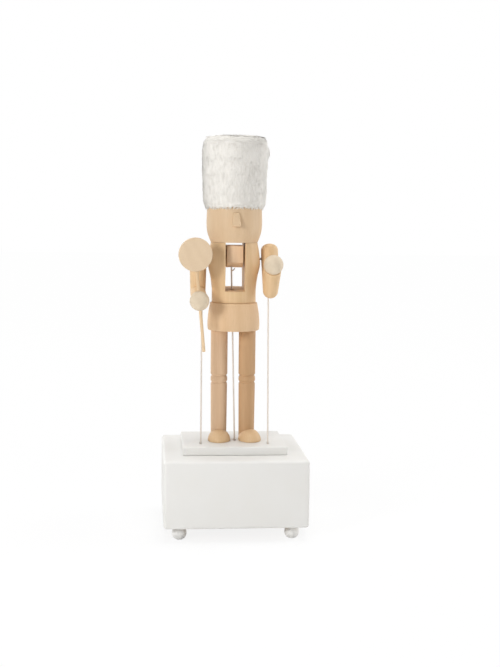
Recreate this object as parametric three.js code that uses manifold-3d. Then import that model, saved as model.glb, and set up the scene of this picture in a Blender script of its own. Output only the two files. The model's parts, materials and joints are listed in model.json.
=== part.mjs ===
// Nutcracker music box: a turned wooden figure with swinging arms and a nodding jaw stands on a
// white box that holds the musical movement, its cams and three push-wire levers.
// Millimetres, +Z up, front of the figure towards -Y, origin on the floor under the whole footprint.
import * as THREE from "three";
import { mergeVertices } from "three/addons/utils/BufferGeometryUtils.js";
import { RoundedBoxGeometry } from "three/addons/geometries/RoundedBoxGeometry.js";
import Module from "manifold-3d";

const wasm = await Module();
wasm.setup();

// Clearances
const SEAT = 0.1; // flat faces that rest on each other
const GAP = 0.3; // turned or coped faces that meet
const RUN = 0.2; // shaft radius to hole radius

// Case
const CASE_W = 110;
const CASE_H = 52;
const CASE_WALL = 6;
const CASE_ROUND = 2.5;
const BLOCK = 8; // square blocks on the side walls that take the bottom screws
const BLOCK_Y = CASE_W * 0.3;
const FOOT_H = 10;
const FOOT_R = 5.6;
const FOOT_INSET = 12;
const FOOT_FLAT_R = 2.5;
const BOTTOM_T = 5;
const PEG_R = 2;
const PEG_L = 3;
const SCREW_R = 1.2;
const SCREW_HEAD_R = 2.4;
const SCREW_HEAD_T = 1.2;
const SCREW_L = 11;

// Stage
const STAGE_W = 80;
const STAGE_D = 68;
const STAGE_T = 6.3;
const STAGE_ROUND = 0.8;

// Figure
const LEG_X = 11;
const LEG_R_TOP = 6.6;
const LEG_R_LOW = 6.1;
const LEG_L = 87;
const KNEE_UP = 48.5; // middle of the knee bead above the stage
const KNEE_H = 5.2;
const GROOVE = 0.9;
const TENON_R = 3.5;
const TENON_L = 6;
const SHOE_W = 17.8;
const SHOE_L = 26;
const SHOE_H = 8.9;
const SHOE_FORWARD = 4.5;
const SHOE_OUT = 0.7; // shoe middle outside the leg's middle line
const TOE_OUT = THREE.MathUtils.degToRad(4);
const SKIRT_H = 21.5;
const SKIRT_R = 20.2;
const SKIRT_ROUND = 1; // rounding of the hem
const SKIRT_SWELL = 0.2; // widest part outside SKIRT_R
const SKIRT_DRAW = 0.4; // upper part inside SKIRT_R
const SKIRT_RIM = 1.2; // upper edge outside the waist
const WAIST_R = 17.2;
const WAIST_H = 10;
const TORSO_H = 46.6; // waist and chest together
const CHEST_R = 20.25;
const CHEST_LOW_IN = 2; // chest inside CHEST_R, below and above its widest part
const CHEST_HIGH_IN = 0.5;
const NECK_R = 18.2;
const SLOT_W = 15.4;
const HEAD_H = 28;
const HEAD_R = 21.65;
const HEAD_JOWL_UP = 5.5; // places on the head's outline: height above the neck, distance inside HEAD_R
const HEAD_JOWL_IN = 1.3;
const HEAD_CHEEK_UP = 10;
const HEAD_CHEEK_IN = 0.3;
const HEAD_WIDE_UP = 16;
const HEAD_BROW_IN = 0.4;
const NOSE_W = 4.3;
const NOSE_H = 10.6;
const NOSE_OUT = 5;
const NOSE_UP = 12.3; // nose tip above the neck
const NOSE_TENON = 3;
const NOSE_ROOT_OUT = 0.6; // upper end of the nose outside the head
const NOSE_TIP_H = 0.9; // slanted cut under the tip
const NOSE_TIP_CUT = 0.8;
const HAT_H = 56;
const HAT_R = 25.6;
const HAT_HEM_IN = 2.2; // places on the hat's outline inside HAT_R, from the hem up
const HAT_LOW_IN = 0.9;
const HAT_MIDDLE_IN = 0.3;
const HAT_CORNER_IN = 2;
const HAT_TOP_IN = 7;
const HAT_CORE_R = 17; // turned peg on the head that the hat sits on
const HAT_CORE_H = 49.5;

// Jaw
const JAW_W = 11.5;
const JAW_FRONT = 12;
const JAW_H = 12.3;
const JAW_TOP_GAP = 2.9;
const JAW_CHIN = 4;
const JAW_CHIN_BACK = 3; // slant of the chin
const JAW_UNDER_END = 6; // end of the underside before the pin
const JAW_HEEL_CORNER = 3.5; // lower corner of the heel, behind and below the pin
const JAW_TOP_END = 2; // end of the upper face before the pin
const JAW_PIN_BACK = 8;
const JAW_PIN_DOWN = 9.7; // below the neck
const JAW_PIN_R = 1.2;
const JAW_HEEL_R = 5; // round end of the jaw about its pin

// Arms
const ARM_X = 28;
const SHOULDER_DOWN = 12.7; // nail below the neck
const ARM_DOME = 11.8; // top of the arm above its nail
const ARM_ROUND = 5;
const ARM_R = 6.7;
const ELBOW_R = 6.4;
const WRIST_R = 6.2;
const UPPER_L = 26;
const FORE_L = 29;
const HAND_R = 7.5;
const CUFF = 5.2; // hand centre to the flat that meets the forearm
const NAIL_R = 0.9;
const NAIL_HEAD_R = 2.2;
const NAIL_HEAD_T = 0.8;
const RIGHT_SWING = 0;
const RIGHT_FORE = THREE.MathUtils.degToRad(-10);
const LEFT_SWING = THREE.MathUtils.degToRad(20);
const LEFT_FORE = THREE.MathUtils.degToRad(46.7);
const STICK_R = 1.2;
const STICK_UP = 35.2; // fist centre to disc centre, along the stick
const STICK_DOWN = 39;
const STICK_LEAN = THREE.MathUtils.degToRad(5.3);
const DISC_R = 12.85;
const DISC_T = 4.6;
const DISC_ROUND = 0.7;
const SOCKET_MOUTH_R = 2.6; // conical sockets that take the wire tips
const SOCKET_TIP_R = 1.6;
const SOCKET_DEPTH = 3;
const WIRE_PLAY = 0.5; // above a wire's tip

// Movement
const PLATE_X = 34; // middle of each frame plate
const PLATE_T = 2;
const PLATE_TOP = 48;
const PLATE_RIM = 5; // metal round the lever shaft's hole
const FLANGE = 7;
const SHAFT_R = 1.5;
const LEVER_PIVOT = new THREE.Vector2(16, 40); // Y and Z of the lever shaft
const LEVER_T = 3;
const LEVER_H = 4;
const CAM_MAX_R = 8;
const CAM_LIFT = 2.5;
const CAM_T = 4;
const CAM_STEPS = 36; // facets round a cam
const CAM_AHEAD = 23; // from the lever shaft forward to the cylinder's shaft
const MODULE = 1;
const ADDENDUM = 0.85; // tooth sizes, in modules
const DEDENDUM = 1.2;
const TOOTH_FOOT = 0.26; // half widths of a tooth, in pitches
const TOOTH_TIP = 0.1;
const CYLINDER_TEETH = 24;
const GEAR_ROOM = 0.65; // share of the room beside the frame plate that the gear fills
const FLYWHEEL_ROOM = 0.85;
const WINDING_WHEEL_ROOM = 0.75; // share of the room behind the bedplate
const WHEEL_R = 13.2;
const GOVERNOR_L = 7;
const GOVERNOR_H = 21;
const MESH_PLAY = 0.1; // between the pitch lines of pinion and crown
const DRUM_R = 6.5;
const DRUM_L = 21;
const DRUM_X = -14.3; // middle of the pinned cylinder
const PIN_R = 0.35;
const PIN_OUT = 0.6;
const PIN_TAPER = 0.7; // tip of a pin as a share of its foot
const PIN_PLACES = 30; // places for pins round the cylinder
const PIN_FIRST = 3; // first place in use
const PIN_SPAN = 24; // places in use
const PIN_NOTE_STEP = 7; // places from one note's pin to the next note's
const PIN_NEXT_STEP = 11; // places from one pin of a note to its next
const NOTES = 18;
const PINS_PER_NOTE = 2;
const COMB_T = 1;
const COMB_TOOTH_L = 8;
const COMB_CLEAR = 0.35;
const COMB_BACK = 4;
const BARREL_X = 16;
const CROWN_TEETH = 24;
const PINION_TEETH = 18;
const CROWN_W = 2.4;
const PINION_W = 3.2;
const BARREL_L = 9.2;
const BARREL_WALL = 2.2;
const SPRING_TURNS = 4;
const SPRING_STEPS = 12; // facets in one turn
const SPRING_T = 0.9;
const ARBOR_R = 2;
const BACK_PLATE_T = 2.5;
const BACK_PLATE_RIM = 3; // beside the barrel
const BACK_PLATE_LOW = 8; // heights of its upper edge above the arbor, from the comb to the barrel
const BACK_PLATE_PEAK = 17;
const BACK_PLATE_SIDE = 12;
const KEY_OUT = 16; // reach of the key behind the case
const KEY_HUB_R = 3.6;
const KEY_HUB_IN = 3.5;
const KEY_HUB_WALL = 4; // solid end of the hub behind the arbor
const KEY_WING_R = 5.6;
const KEY_WING_T = 2.6;
const KEY_HOLE_R = 4.6;

// Push wires: places where each wire meets its lever
const WIRE_R = 0.6;
const HOOK_L = 5;
const RIGHT_WIRE_X = -25.8;
const RIGHT_WIRE_Y = -16;
const RIGHT_WIRE_REACH = 20; // along the forearm from the elbow
const LEFT_WIRE_X = 26.4;
const LEFT_WIRE_Y = -20;
const LEFT_WIRE_REACH = 0;
const JAW_WIRE_X = 2.2;
const JAW_WIRE_Y = -3;
const JAW_WIRE_TOP_X = -2.4;
const JAW_WIRE_TOP_Y = -5;
const WIRE_SLOT_W = 3.4;
const WIRE_SLOT_L = 8;
const JAW_BORE_R = 2.2;

// Levels worked out from the sizes above
const CASE_BOTTOM = FOOT_H;
const CASE_TOP = CASE_BOTTOM + CASE_H;
const FLOOR = CASE_BOTTOM + BOTTOM_T; // inside, on the bottom plate
const STAGE_TOP = CASE_TOP + SEAT + STAGE_T;
const LEG_TOP = STAGE_TOP + SEAT + LEG_L;
const SKIRT_TOP = LEG_TOP + SEAT + SKIRT_H;
const TORSO_BASE = SKIRT_TOP + SEAT;
const NECK = TORSO_BASE + TORSO_H;
const HEAD_BASE = NECK + SEAT;
const HEAD_TOP = HEAD_BASE + HEAD_H;
const HAT_BASE = HEAD_TOP + SEAT;
const SHOULDER = NECK - SHOULDER_DOWN;
const INSIDE = CASE_W / 2 - CASE_WALL;
const CAM_DROP = LEVER_H / 2 + 1 + GAP + CAM_MAX_R; // cams run clear below the levers
const CYLINDER_AXIS = new THREE.Vector2(LEVER_PIVOT.x - CAM_AHEAD, LEVER_PIVOT.y - CAM_DROP); // Y and Z
const SMOOTH = 24; // facets round a large turned piece
const LIMB = 16; // facets round a leg or an arm
const FINE = 12; // facets round a small piece
const THIN = 8; // facets round a wire or a screw
const CURVE = 5; // points along each curve of an outline

// Points, and a point at a distance and angle from a centre
const v = (x, y, z) => new THREE.Vector3(x, y, z);
const v2 = (x, y) => new THREE.Vector2(x, y);
function polar(centre, distance, angle) {
  return v2(distance * Math.cos(angle), distance * Math.sin(angle)).add(centre);
}

// Solid helpers
function solidOf(geometry) {
  const bare = geometry.clone();
  bare.deleteAttribute("normal");
  bare.deleteAttribute("uv");
  const merged = mergeVertices(bare, 1e-4);
  return new wasm.Manifold(
    new wasm.Mesh({
      numProp: 3,
      vertProperties: new Float32Array(merged.attributes.position.array),
      triVerts: new Uint32Array(merged.index.array),
    }),
  );
}

function geometryOf(solid) {
  const mesh = solid.getMesh();
  const geometry = new THREE.BufferGeometry();
  geometry.setAttribute("position", new THREE.BufferAttribute(new Float32Array(mesh.vertProperties), 3));
  geometry.setIndex(new THREE.BufferAttribute(new Uint32Array(mesh.triVerts), 1));
  geometry.computeVertexNormals();
  return geometry;
}

function cut(geometry, ...tools) {
  return geometryOf(tools.reduce((left, tool) => left.subtract(solidOf(tool)), solidOf(geometry)));
}

function join(...pieces) {
  return geometryOf(pieces.map(solidOf).reduce((all, piece) => all.add(piece)));
}

// A turned piece about Z from [radius, height] pairs that run up from the axis and back to it.
function turned(profile, sides = SMOOTH) {
  const points = profile.map(([r, z]) => new THREE.Vector2(r, z));
  return new THREE.LatheGeometry(points, sides).rotateX(Math.PI / 2);
}

// Points of a smooth curve through [radius, height] pairs.
function curved(pairs, count) {
  const curve = new THREE.SplineCurve(pairs.map(([r, z]) => new THREE.Vector2(r, z)));
  return curve.getPoints(count).map((p) => [p.x, p.y]);
}

// Points on a circle about a [radius, height] place, between two angles in degrees.
function arc(r, z, radius, from, to, count) {
  const points = [];
  for (let i = 0; i <= count; i += 1) {
    const angle = THREE.MathUtils.degToRad(from + ((to - from) * i) / count);
    points.push([r + radius * Math.cos(angle), z + radius * Math.sin(angle)]);
  }
  return points;
}

// A round rod between two points.
function rod(from, to, radius, sides = FINE) {
  const along = new THREE.Vector3().subVectors(to, from);
  const geometry = new THREE.CylinderGeometry(radius, radius, along.length(), sides);
  const up = new THREE.Vector3(0, 1, 0);
  geometry.applyQuaternion(new THREE.Quaternion().setFromUnitVectors(up, along.normalize()));
  const middle = new THREE.Vector3().addVectors(from, to).multiplyScalar(0.5);
  return geometry.translate(middle.x, middle.y, middle.z);
}

function box(low, high) {
  const size = high.map((h, i) => h - low[i]);
  return new THREE.BoxGeometry(...size).translate(...high.map((h, i) => (h + low[i]) / 2));
}

// Sheets cut from an outline: across X (outline in Y, Z), across Y (outline in X, Z), or across Z.
function sheetZ(outline, low, high) {
  const options = { depth: high - low, bevelEnabled: false, curveSegments: CURVE };
  return new THREE.ExtrudeGeometry(outline, options).translate(0, 0, low);
}

function sheetX(outline, low, high) {
  const turn = new THREE.Matrix4().set(0, 0, 1, 0, 1, 0, 0, 0, 0, 1, 0, 0, 0, 0, 0, 1);
  return sheetZ(outline, low, high).applyMatrix4(turn);
}

function sheetY(outline, low, high) {
  return sheetZ(outline, -high, -low).rotateX(Math.PI / 2);
}

function roundHole(outline, x, y, radius) {
  const hole = new THREE.Path();
  hole.absarc(x, y, radius, 0, Math.PI * 2, true);
  outline.holes.push(hole);
}

// A gear outline about an axis, with the middle of its first tooth straight out along the outline's x.
function gearOutline(axis, teeth) {
  const pitch = (Math.PI * 2) / teeth;
  const pitchRadius = (MODULE * teeth) / 2;
  const flank = [
    [pitchRadius - DEDENDUM * MODULE, -TOOTH_FOOT],
    [pitchRadius + ADDENDUM * MODULE, -TOOTH_TIP],
    [pitchRadius + ADDENDUM * MODULE, TOOTH_TIP],
    [pitchRadius - DEDENDUM * MODULE, TOOTH_FOOT],
  ];
  const points = [];
  for (let tooth = 0; tooth < teeth; tooth += 1) {
    for (const [radius, share] of flank) points.push(polar(axis, radius, (tooth + share) * pitch));
  }
  return new THREE.Shape(points);
}

// Materials, coloured as the photograph shows them
function finish(color, roughness, metalness) {
  return new THREE.MeshStandardMaterial({ color, roughness, metalness });
}
const PAINT = finish(0xe9e8e4, 0.55, 0);
const PLY = finish(0xcdb48f, 0.7, 0);
const BEECH = finish(0xd8b88c, 0.55, 0);
const PALE_WOOD = finish(0xdccdb4, 0.6, 0);
const PLUSH = finish(0xe2dfd6, 0.95, 0);
const STEEL = finish(0xc9c4bf, 0.35, 1);
const DARK_STEEL = finish(0x4a4744, 0.45, 1);
const BRASS = finish(0xb89a55, 0.35, 1);
const ZINC = finish(0xa9aaa8, 0.5, 1);

// The whole model, moved so that the key's reach leaves the footprint centred on the origin
const musicBox = new THREE.Group();
musicBox.position.y = -KEY_OUT / 2;

function add(name, geometry, material) {
  const mesh = new THREE.Mesh(geometry, material);
  mesh.name = name;
  musicBox.add(mesh);
  return mesh;
}

// Matrix of an arm's upper part and of its forearm, in the model's frame.
function armFrames(side, swing, fore) {
  const upper = new THREE.Matrix4().makeTranslation(side * ARM_X, 0, SHOULDER);
  upper.multiply(new THREE.Matrix4().makeRotationX(-swing));
  const forearm = upper.clone().multiply(new THREE.Matrix4().makeTranslation(0, 0, -UPPER_L));
  // The forearm's own +Z runs from the elbow to the hand.
  forearm.multiply(new THREE.Matrix4().makeRotationX(swing + Math.PI / 2 - fore));
  return { upper, forearm };
}
const rightArm = armFrames(-1, RIGHT_SWING, RIGHT_FORE);
const leftArm = armFrames(1, LEFT_SWING, LEFT_FORE);

// The tip of an arm's wire: straight down from the forearm's middle line, inside its underside.
function wireTip(frames, x, reach) {
  const onAxis = v(0, 0, reach).applyMatrix4(frames.forearm);
  return v(x, onAxis.y, onAxis.z - ELBOW_R + SOCKET_DEPTH - GAP);
}
const jawTop = NECK - JAW_TOP_GAP;
const chin = jawTop - JAW_H - JAW_CHIN;
const WIRES = {
  right_arm: {
    foot: v(RIGHT_WIRE_X, RIGHT_WIRE_Y, LEVER_PIVOT.y),
    tip: wireTip(rightArm, RIGHT_WIRE_X, RIGHT_WIRE_REACH),
    hook: -HOOK_L,
  },
  left_arm: {
    foot: v(LEFT_WIRE_X, LEFT_WIRE_Y, LEVER_PIVOT.y),
    tip: wireTip(leftArm, LEFT_WIRE_X, LEFT_WIRE_REACH),
    hook: HOOK_L,
  },
  jaw: {
    foot: v(JAW_WIRE_X, JAW_WIRE_Y, LEVER_PIVOT.y),
    tip: v(JAW_WIRE_TOP_X, JAW_WIRE_TOP_Y, chin + SOCKET_DEPTH - GAP),
    hook: -HOOK_L,
  },
};

// Where a wire crosses a level.
function wireAt(wire, z) {
  const share = (z - wire.foot.z) / (wire.tip.z - wire.foot.z);
  return new THREE.Vector3().lerpVectors(wire.foot, wire.tip, share);
}

// The slot that lets a wire through a board between two levels.
function wireSlot(wire, low, high) {
  const middle = wireAt(wire, (low + high) / 2);
  const slot = new THREE.Shape();
  const half = (WIRE_SLOT_L - WIRE_SLOT_W) / 2;
  slot.absarc(middle.x, middle.y + half, WIRE_SLOT_W / 2, 0, Math.PI);
  slot.absarc(middle.x, middle.y - half, WIRE_SLOT_W / 2, Math.PI, Math.PI * 2);
  return sheetZ(slot, low - 1, high + 1);
}

// A conical socket that opens downwards round a wire's tip.
function wireSocket(wire) {
  const top = wire.tip.z + WIRE_PLAY;
  const mouth = top - 2 * SOCKET_DEPTH;
  const mouthRadius = SOCKET_TIP_R + 2 * (SOCKET_MOUTH_R - SOCKET_TIP_R);
  const cone = turned([[0, mouth], [mouthRadius, mouth], [SOCKET_TIP_R, top], [0, top]], FINE);
  return cone.translate(wire.tip.x, wire.tip.y, 0);
}

// Case, bottom plate, screws and feet
const corners = [
  ["front_left", -1, -1],
  ["front_right", 1, -1],
  ["back_left", -1, 1],
  ["back_right", 1, 1],
];
const footPlace = CASE_W / 2 - FOOT_INSET;
const screwPlace = INSIDE - BLOCK / 2;
const roof = CASE_TOP - CASE_WALL;
const plateHalf = INSIDE - GAP;
const arborZ = CYLINDER_AXIS.y;

function caseShell() {
  const outer = new RoundedBoxGeometry(CASE_W, CASE_W, CASE_H, 1, CASE_ROUND)
    .translate(0, 0, CASE_BOTTOM + CASE_H / 2);
  const blocks = corners.map(([, sx, sy]) =>
    box([-BLOCK, -BLOCK / 2, FLOOR + SEAT], [BLOCK, BLOCK / 2, CASE_TOP])
      .translate(sx * INSIDE, sy * BLOCK_Y, 0));
  const tools = [
    cut(box([-INSIDE, -INSIDE, CASE_BOTTOM - 1], [INSIDE, INSIDE, roof]), ...blocks),
    rod(v(BARREL_X, INSIDE - 1, arborZ), v(BARREL_X, CASE_W / 2 + 1, arborZ), KEY_HOLE_R),
  ];
  for (const [, sx, sy] of corners) {
    const at = [sx * screwPlace, sy * BLOCK_Y];
    tools.push(rod(v(...at, FLOOR - 1), v(...at, CASE_BOTTOM + SCREW_L + 1), SCREW_R + RUN));
  }
  for (const wire of Object.values(WIRES)) tools.push(wireSlot(wire, roof, CASE_TOP));
  return cut(outer, ...tools);
}
add("case_shell", caseShell(), PAINT);

function bottomPlate() {
  const tools = [];
  for (const [, sx, sy] of corners) {
    const screw = [sx * screwPlace, sy * BLOCK_Y];
    const foot = [sx * footPlace, sy * footPlace];
    tools.push(rod(v(...screw, CASE_BOTTOM - 1), v(...screw, FLOOR + 1), SCREW_R + RUN));
    tools.push(rod(v(...foot, CASE_BOTTOM - 1), v(...foot, CASE_BOTTOM + PEG_L + SEAT), PEG_R + RUN));
  }
  return cut(box([-plateHalf, -plateHalf, CASE_BOTTOM], [plateHalf, plateHalf, FLOOR]), ...tools);
}
add("bottom_plate", bottomPlate(), PLY);

for (const [corner, sx, sy] of corners) {
  const foot = turned([
    [0, 0],
    [FOOT_FLAT_R, 0],
    ...curved([
      [FOOT_R * 0.8, FOOT_H * 0.15],
      [FOOT_R, FOOT_H * 0.48],
      [FOOT_R * 0.8, FOOT_H - SEAT],
    ], 4),
    [PEG_R, FOOT_H - SEAT],
    [PEG_R, FOOT_H + PEG_L - SEAT],
    [0, FOOT_H + PEG_L - SEAT],
  ], FINE);
  add(`foot_${corner}`, foot, PAINT).position.set(sx * footPlace, sy * footPlace, 0);
}

// Stage board with the wires' slots
function stagePlate() {
  const board = new RoundedBoxGeometry(STAGE_W, STAGE_D, STAGE_T, 1, STAGE_ROUND)
    .translate(0, 0, CASE_TOP + SEAT + STAGE_T / 2);
  return cut(board, ...Object.values(WIRES).map((wire) => wireSlot(wire, CASE_TOP, STAGE_TOP)));
}
add("stage_plate", stagePlate(), PAINT);

// Legs and shoes
function legProfile() {
  const base = STAGE_TOP + SEAT;
  const knee = base + KNEE_UP;
  const radiusAt = (z) => THREE.MathUtils.lerp(LEG_R_LOW, LEG_R_TOP, (z - base) / LEG_L);
  const profile = [[0, base], [radiusAt(base), base]];
  for (const groove of [knee - KNEE_H / 2, knee + KNEE_H / 2]) {
    profile.push([radiusAt(groove), groove - GROOVE]);
    profile.push([radiusAt(groove) - GROOVE, groove]);
    profile.push([radiusAt(groove) + GROOVE / 4, groove + GROOVE]);
  }
  profile.push([radiusAt(LEG_TOP - 1), LEG_TOP - 1], [radiusAt(LEG_TOP) - 1, LEG_TOP]);
  profile.push([TENON_R, LEG_TOP], [TENON_R, LEG_TOP + TENON_L], [0, LEG_TOP + TENON_L]);
  return profile;
}

function shoe(side) {
  const upper = new THREE.SphereGeometry(1, LIMB, 8).scale(SHOE_W / 2, SHOE_L / 2, SHOE_H);
  upper.translate(side * SHOE_OUT, -SHOE_FORWARD, 0).rotateZ(side * TOE_OUT);
  upper.translate(side * LEG_X, 0, STAGE_TOP + SEAT);
  const reach = SHOE_L + SHOE_W;
  const below = box([-reach, -reach, STAGE_TOP - SHOE_H - 1], [reach, reach, STAGE_TOP + SEAT]);
  const ankle = v(side * LEG_X, 0, STAGE_TOP - 1);
  const leg = rod(ankle, v(side * LEG_X, 0, STAGE_TOP + SHOE_H + 2), LEG_R_LOW + GAP, SMOOTH);
  return cut(upper, below.translate(side * LEG_X, 0, 0), leg);
}

for (const [name, side] of [["right", -1], ["left", 1]]) {
  add(`${name}_leg`, turned(legProfile(), LIMB), BEECH).position.x = side * LEG_X;
  add(`${name}_shoe`, shoe(side), BEECH);
}

// Coat skirt, torso with its jaw slot, head and hat
const jawBore = rod(
  wireAt(WIRES.jaw, LEG_TOP - 2),
  wireAt(WIRES.jaw, TORSO_BASE + WAIST_H + 2),
  JAW_BORE_R,
);

function coatSkirt() {
  const base = LEG_TOP + SEAT;
  const body = turned([
    [0, base],
    [SKIRT_R - SKIRT_ROUND, base],
    ...curved([
      [SKIRT_R, base + SKIRT_ROUND],
      [SKIRT_R + SKIRT_SWELL, base + SKIRT_H * 0.25],
      [SKIRT_R - SKIRT_DRAW, base + SKIRT_H * 0.62],
      [WAIST_R + SKIRT_RIM, SKIRT_TOP],
    ], 7),
    [0, SKIRT_TOP],
  ]);
  const sockets = [-1, 1].map((side) =>
    rod(v(side * LEG_X, 0, base - 1), v(side * LEG_X, 0, LEG_TOP + TENON_L + GAP), TENON_R + RUN, LIMB));
  return cut(body, jawBore, ...sockets);
}
add("coat_skirt", coatSkirt(), BEECH);

const pinAt = v(0, JAW_PIN_BACK, NECK - JAW_PIN_DOWN);
function torso() {
  const chest = TORSO_BASE + WAIST_H;
  const rise = NECK - chest;
  const body = turned([
    [0, TORSO_BASE],
    [WAIST_R, TORSO_BASE],
    ...curved([
      [WAIST_R, chest],
      [CHEST_R - CHEST_LOW_IN, chest + rise * 0.25],
      [CHEST_R, chest + rise * 0.52],
      [CHEST_R - CHEST_HIGH_IN, chest + rise * 0.75],
      [NECK_R, NECK],
    ], 10),
    [0, NECK],
  ]);
  const slot = box([-SLOT_W / 2, -HEAD_R, chest - 1], [SLOT_W / 2, HEAD_R, NECK + 1]);
  const out = CHEST_R + 1;
  const pinHole = rod(v(-out, pinAt.y, pinAt.z), v(out, pinAt.y, pinAt.z), JAW_PIN_R + RUN);
  const nailHole = rod(v(-out, 0, SHOULDER), v(out, 0, SHOULDER), NAIL_R + RUN);
  return cut(body, slot, jawBore, pinHole, nailHole);
}
add("torso", torso(), BEECH);

const noseFoot = HEAD_BASE + NOSE_UP;
function head() {
  const body = turned([
    [0, HEAD_BASE],
    ...curved([
      [NECK_R, HEAD_BASE],
      [HEAD_R - HEAD_JOWL_IN, HEAD_BASE + HEAD_JOWL_UP],
      [HEAD_R - HEAD_CHEEK_IN, HEAD_BASE + HEAD_CHEEK_UP],
      [HEAD_R, HEAD_BASE + HEAD_WIDE_UP],
      [HEAD_R - HEAD_BROW_IN, HEAD_TOP],
    ], 8),
    [HAT_CORE_R, HEAD_TOP],
    [HAT_CORE_R, HEAD_TOP + HAT_CORE_H],
    [0, HEAD_TOP + HAT_CORE_H],
  ]);
  const notch = box(
    [-NOSE_W / 2 - RUN, -HEAD_R - 2, noseFoot - RUN],
    [NOSE_W / 2 + RUN, NOSE_TENON + RUN - HEAD_R, noseFoot + NOSE_H + RUN],
  );
  return cut(body, notch);
}
add("head", head(), BEECH);

function nose() {
  const side = new THREE.Shape();
  side.moveTo(NOSE_TENON - HEAD_R, noseFoot);
  side.lineTo(NOSE_TENON - HEAD_R, noseFoot + NOSE_H);
  side.lineTo(-HEAD_R - NOSE_ROOT_OUT, noseFoot + NOSE_H);
  side.lineTo(-HEAD_R - NOSE_OUT, noseFoot + NOSE_TIP_H);
  side.lineTo(-HEAD_R - NOSE_OUT + NOSE_TIP_CUT, noseFoot);
  return sheetX(side, -NOSE_W / 2, NOSE_W / 2);
}
add("nose", nose(), BEECH);

function hat() {
  const hollow = HEAD_TOP + HAT_CORE_H + GAP;
  return turned([
    [HAT_CORE_R + GAP, HAT_BASE],
    ...curved([
      [HAT_R - HAT_HEM_IN, HAT_BASE],
      [HAT_R - HAT_LOW_IN, HAT_BASE + HAT_H * 0.14],
      [HAT_R - HAT_MIDDLE_IN, HAT_BASE + HAT_H * 0.5],
      [HAT_R, HAT_BASE + HAT_H * 0.78],
      [HAT_R - HAT_CORNER_IN, HAT_BASE + HAT_H * 0.96],
      [HAT_R - HAT_TOP_IN, HAT_BASE + HAT_H - SEAT],
    ], 10),
    [0, HAT_BASE + HAT_H],
    [0, hollow],
    [HAT_CORE_R + GAP, hollow],
    [HAT_CORE_R + GAP, HAT_BASE],
  ]);
}
add("hat", hat(), PLUSH);

// Jaw block on its pin
function jaw() {
  const side = new THREE.Shape();
  side.moveTo(-JAW_FRONT, jawTop - JAW_H);
  side.lineTo(-JAW_FRONT + JAW_CHIN_BACK, chin);
  side.lineTo(pinAt.y - JAW_UNDER_END, chin);
  side.lineTo(pinAt.y + JAW_HEEL_CORNER, pinAt.z - JAW_HEEL_CORNER);
  side.absarc(pinAt.y, pinAt.z, JAW_HEEL_R, -Math.PI / 4, Math.PI / 3);
  side.lineTo(pinAt.y - JAW_TOP_END, jawTop);
  side.lineTo(-JAW_FRONT, jawTop);
  roundHole(side, pinAt.y, pinAt.z, JAW_PIN_R + RUN);
  return cut(sheetX(side, -JAW_W / 2, JAW_W / 2), wireSocket(WIRES.jaw));
}
add("jaw", jaw(), BEECH);
const pinHalf = Math.sqrt(CHEST_R ** 2 - JAW_PIN_BACK ** 2) - 1;
add("jaw_pin", rod(v(-pinHalf, pinAt.y, pinAt.z), v(pinHalf, pinAt.y, pinAt.z), JAW_PIN_R), STEEL);

// Arms: dowel upper arm, tapered forearm coped into it, ball hand, each about its own middle line
function forearmTurning(spare) {
  return turned([
    ...arc(0, 0, ELBOW_R + spare, -90, 0, 5).map(([r, z]) => [Math.max(r, 0), z]),
    [WRIST_R + spare, FORE_L - CUFF - GAP + spare],
    [0, FORE_L - CUFF - GAP + spare],
  ], LIMB);
}

const nailTip = SLOT_W / 2 + GAP;
const nailSeat = ARM_X + ARM_R - NAIL_HEAD_T; // outer face of the spot where the nail head sits
const nailHead = nailSeat + GAP;

// A rod across the shoulder between two distances from the figure's middle.
function shoulderRod(side, inner, outer, radius) {
  return rod(v(side * inner, 0, SHOULDER), v(side * outer, 0, SHOULDER), radius);
}

function upperArm(frames, wire, side) {
  const dowel = turned([
    ...arc(0, -UPPER_L, ELBOW_R, -90, 0, 4).map(([r, z]) => [Math.max(r, 0), z]),
    [ARM_R, 0],
    ...arc(ARM_R - ARM_ROUND, ARM_DOME - ARM_ROUND, ARM_ROUND, 0, 90, 4),
    [0, ARM_DOME],
  ], LIMB).applyMatrix4(frames.upper);
  const cope = forearmTurning(GAP).applyMatrix4(frames.forearm);
  const hole = shoulderRod(side, nailTip, ARM_X + ARM_R + 1, NAIL_R + RUN);
  const spot = shoulderRod(side, nailSeat, ARM_X + ARM_R + 1, NAIL_HEAD_R + GAP);
  return cut(dowel, cope, hole, spot, wireSocket(wire));
}

function hand(frames, bored) {
  const ball = new THREE.SphereGeometry(HAND_R, LIMB, 9).translate(0, 0, FORE_L);
  const wrist = box([-HAND_R, -HAND_R, FORE_L - 2 * HAND_R], [HAND_R, HAND_R, FORE_L - CUFF]);
  return cut(cut(ball, wrist).applyMatrix4(frames.forearm), ...bored);
}

const fist = v(0, 0, FORE_L).applyMatrix4(rightArm.forearm);
const stickWay = v(Math.sin(-STICK_LEAN), 0, Math.cos(STICK_LEAN));
const stickTop = fist.clone().addScaledVector(stickWay, STICK_UP - DISC_R / 2);
const stickLow = fist.clone().addScaledVector(stickWay, -STICK_DOWN);
const discAt = fist.clone().addScaledVector(stickWay, STICK_UP);
const stickBore = rod(stickLow, stickTop.clone().addScaledVector(stickWay, GAP), STICK_R + RUN);

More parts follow.
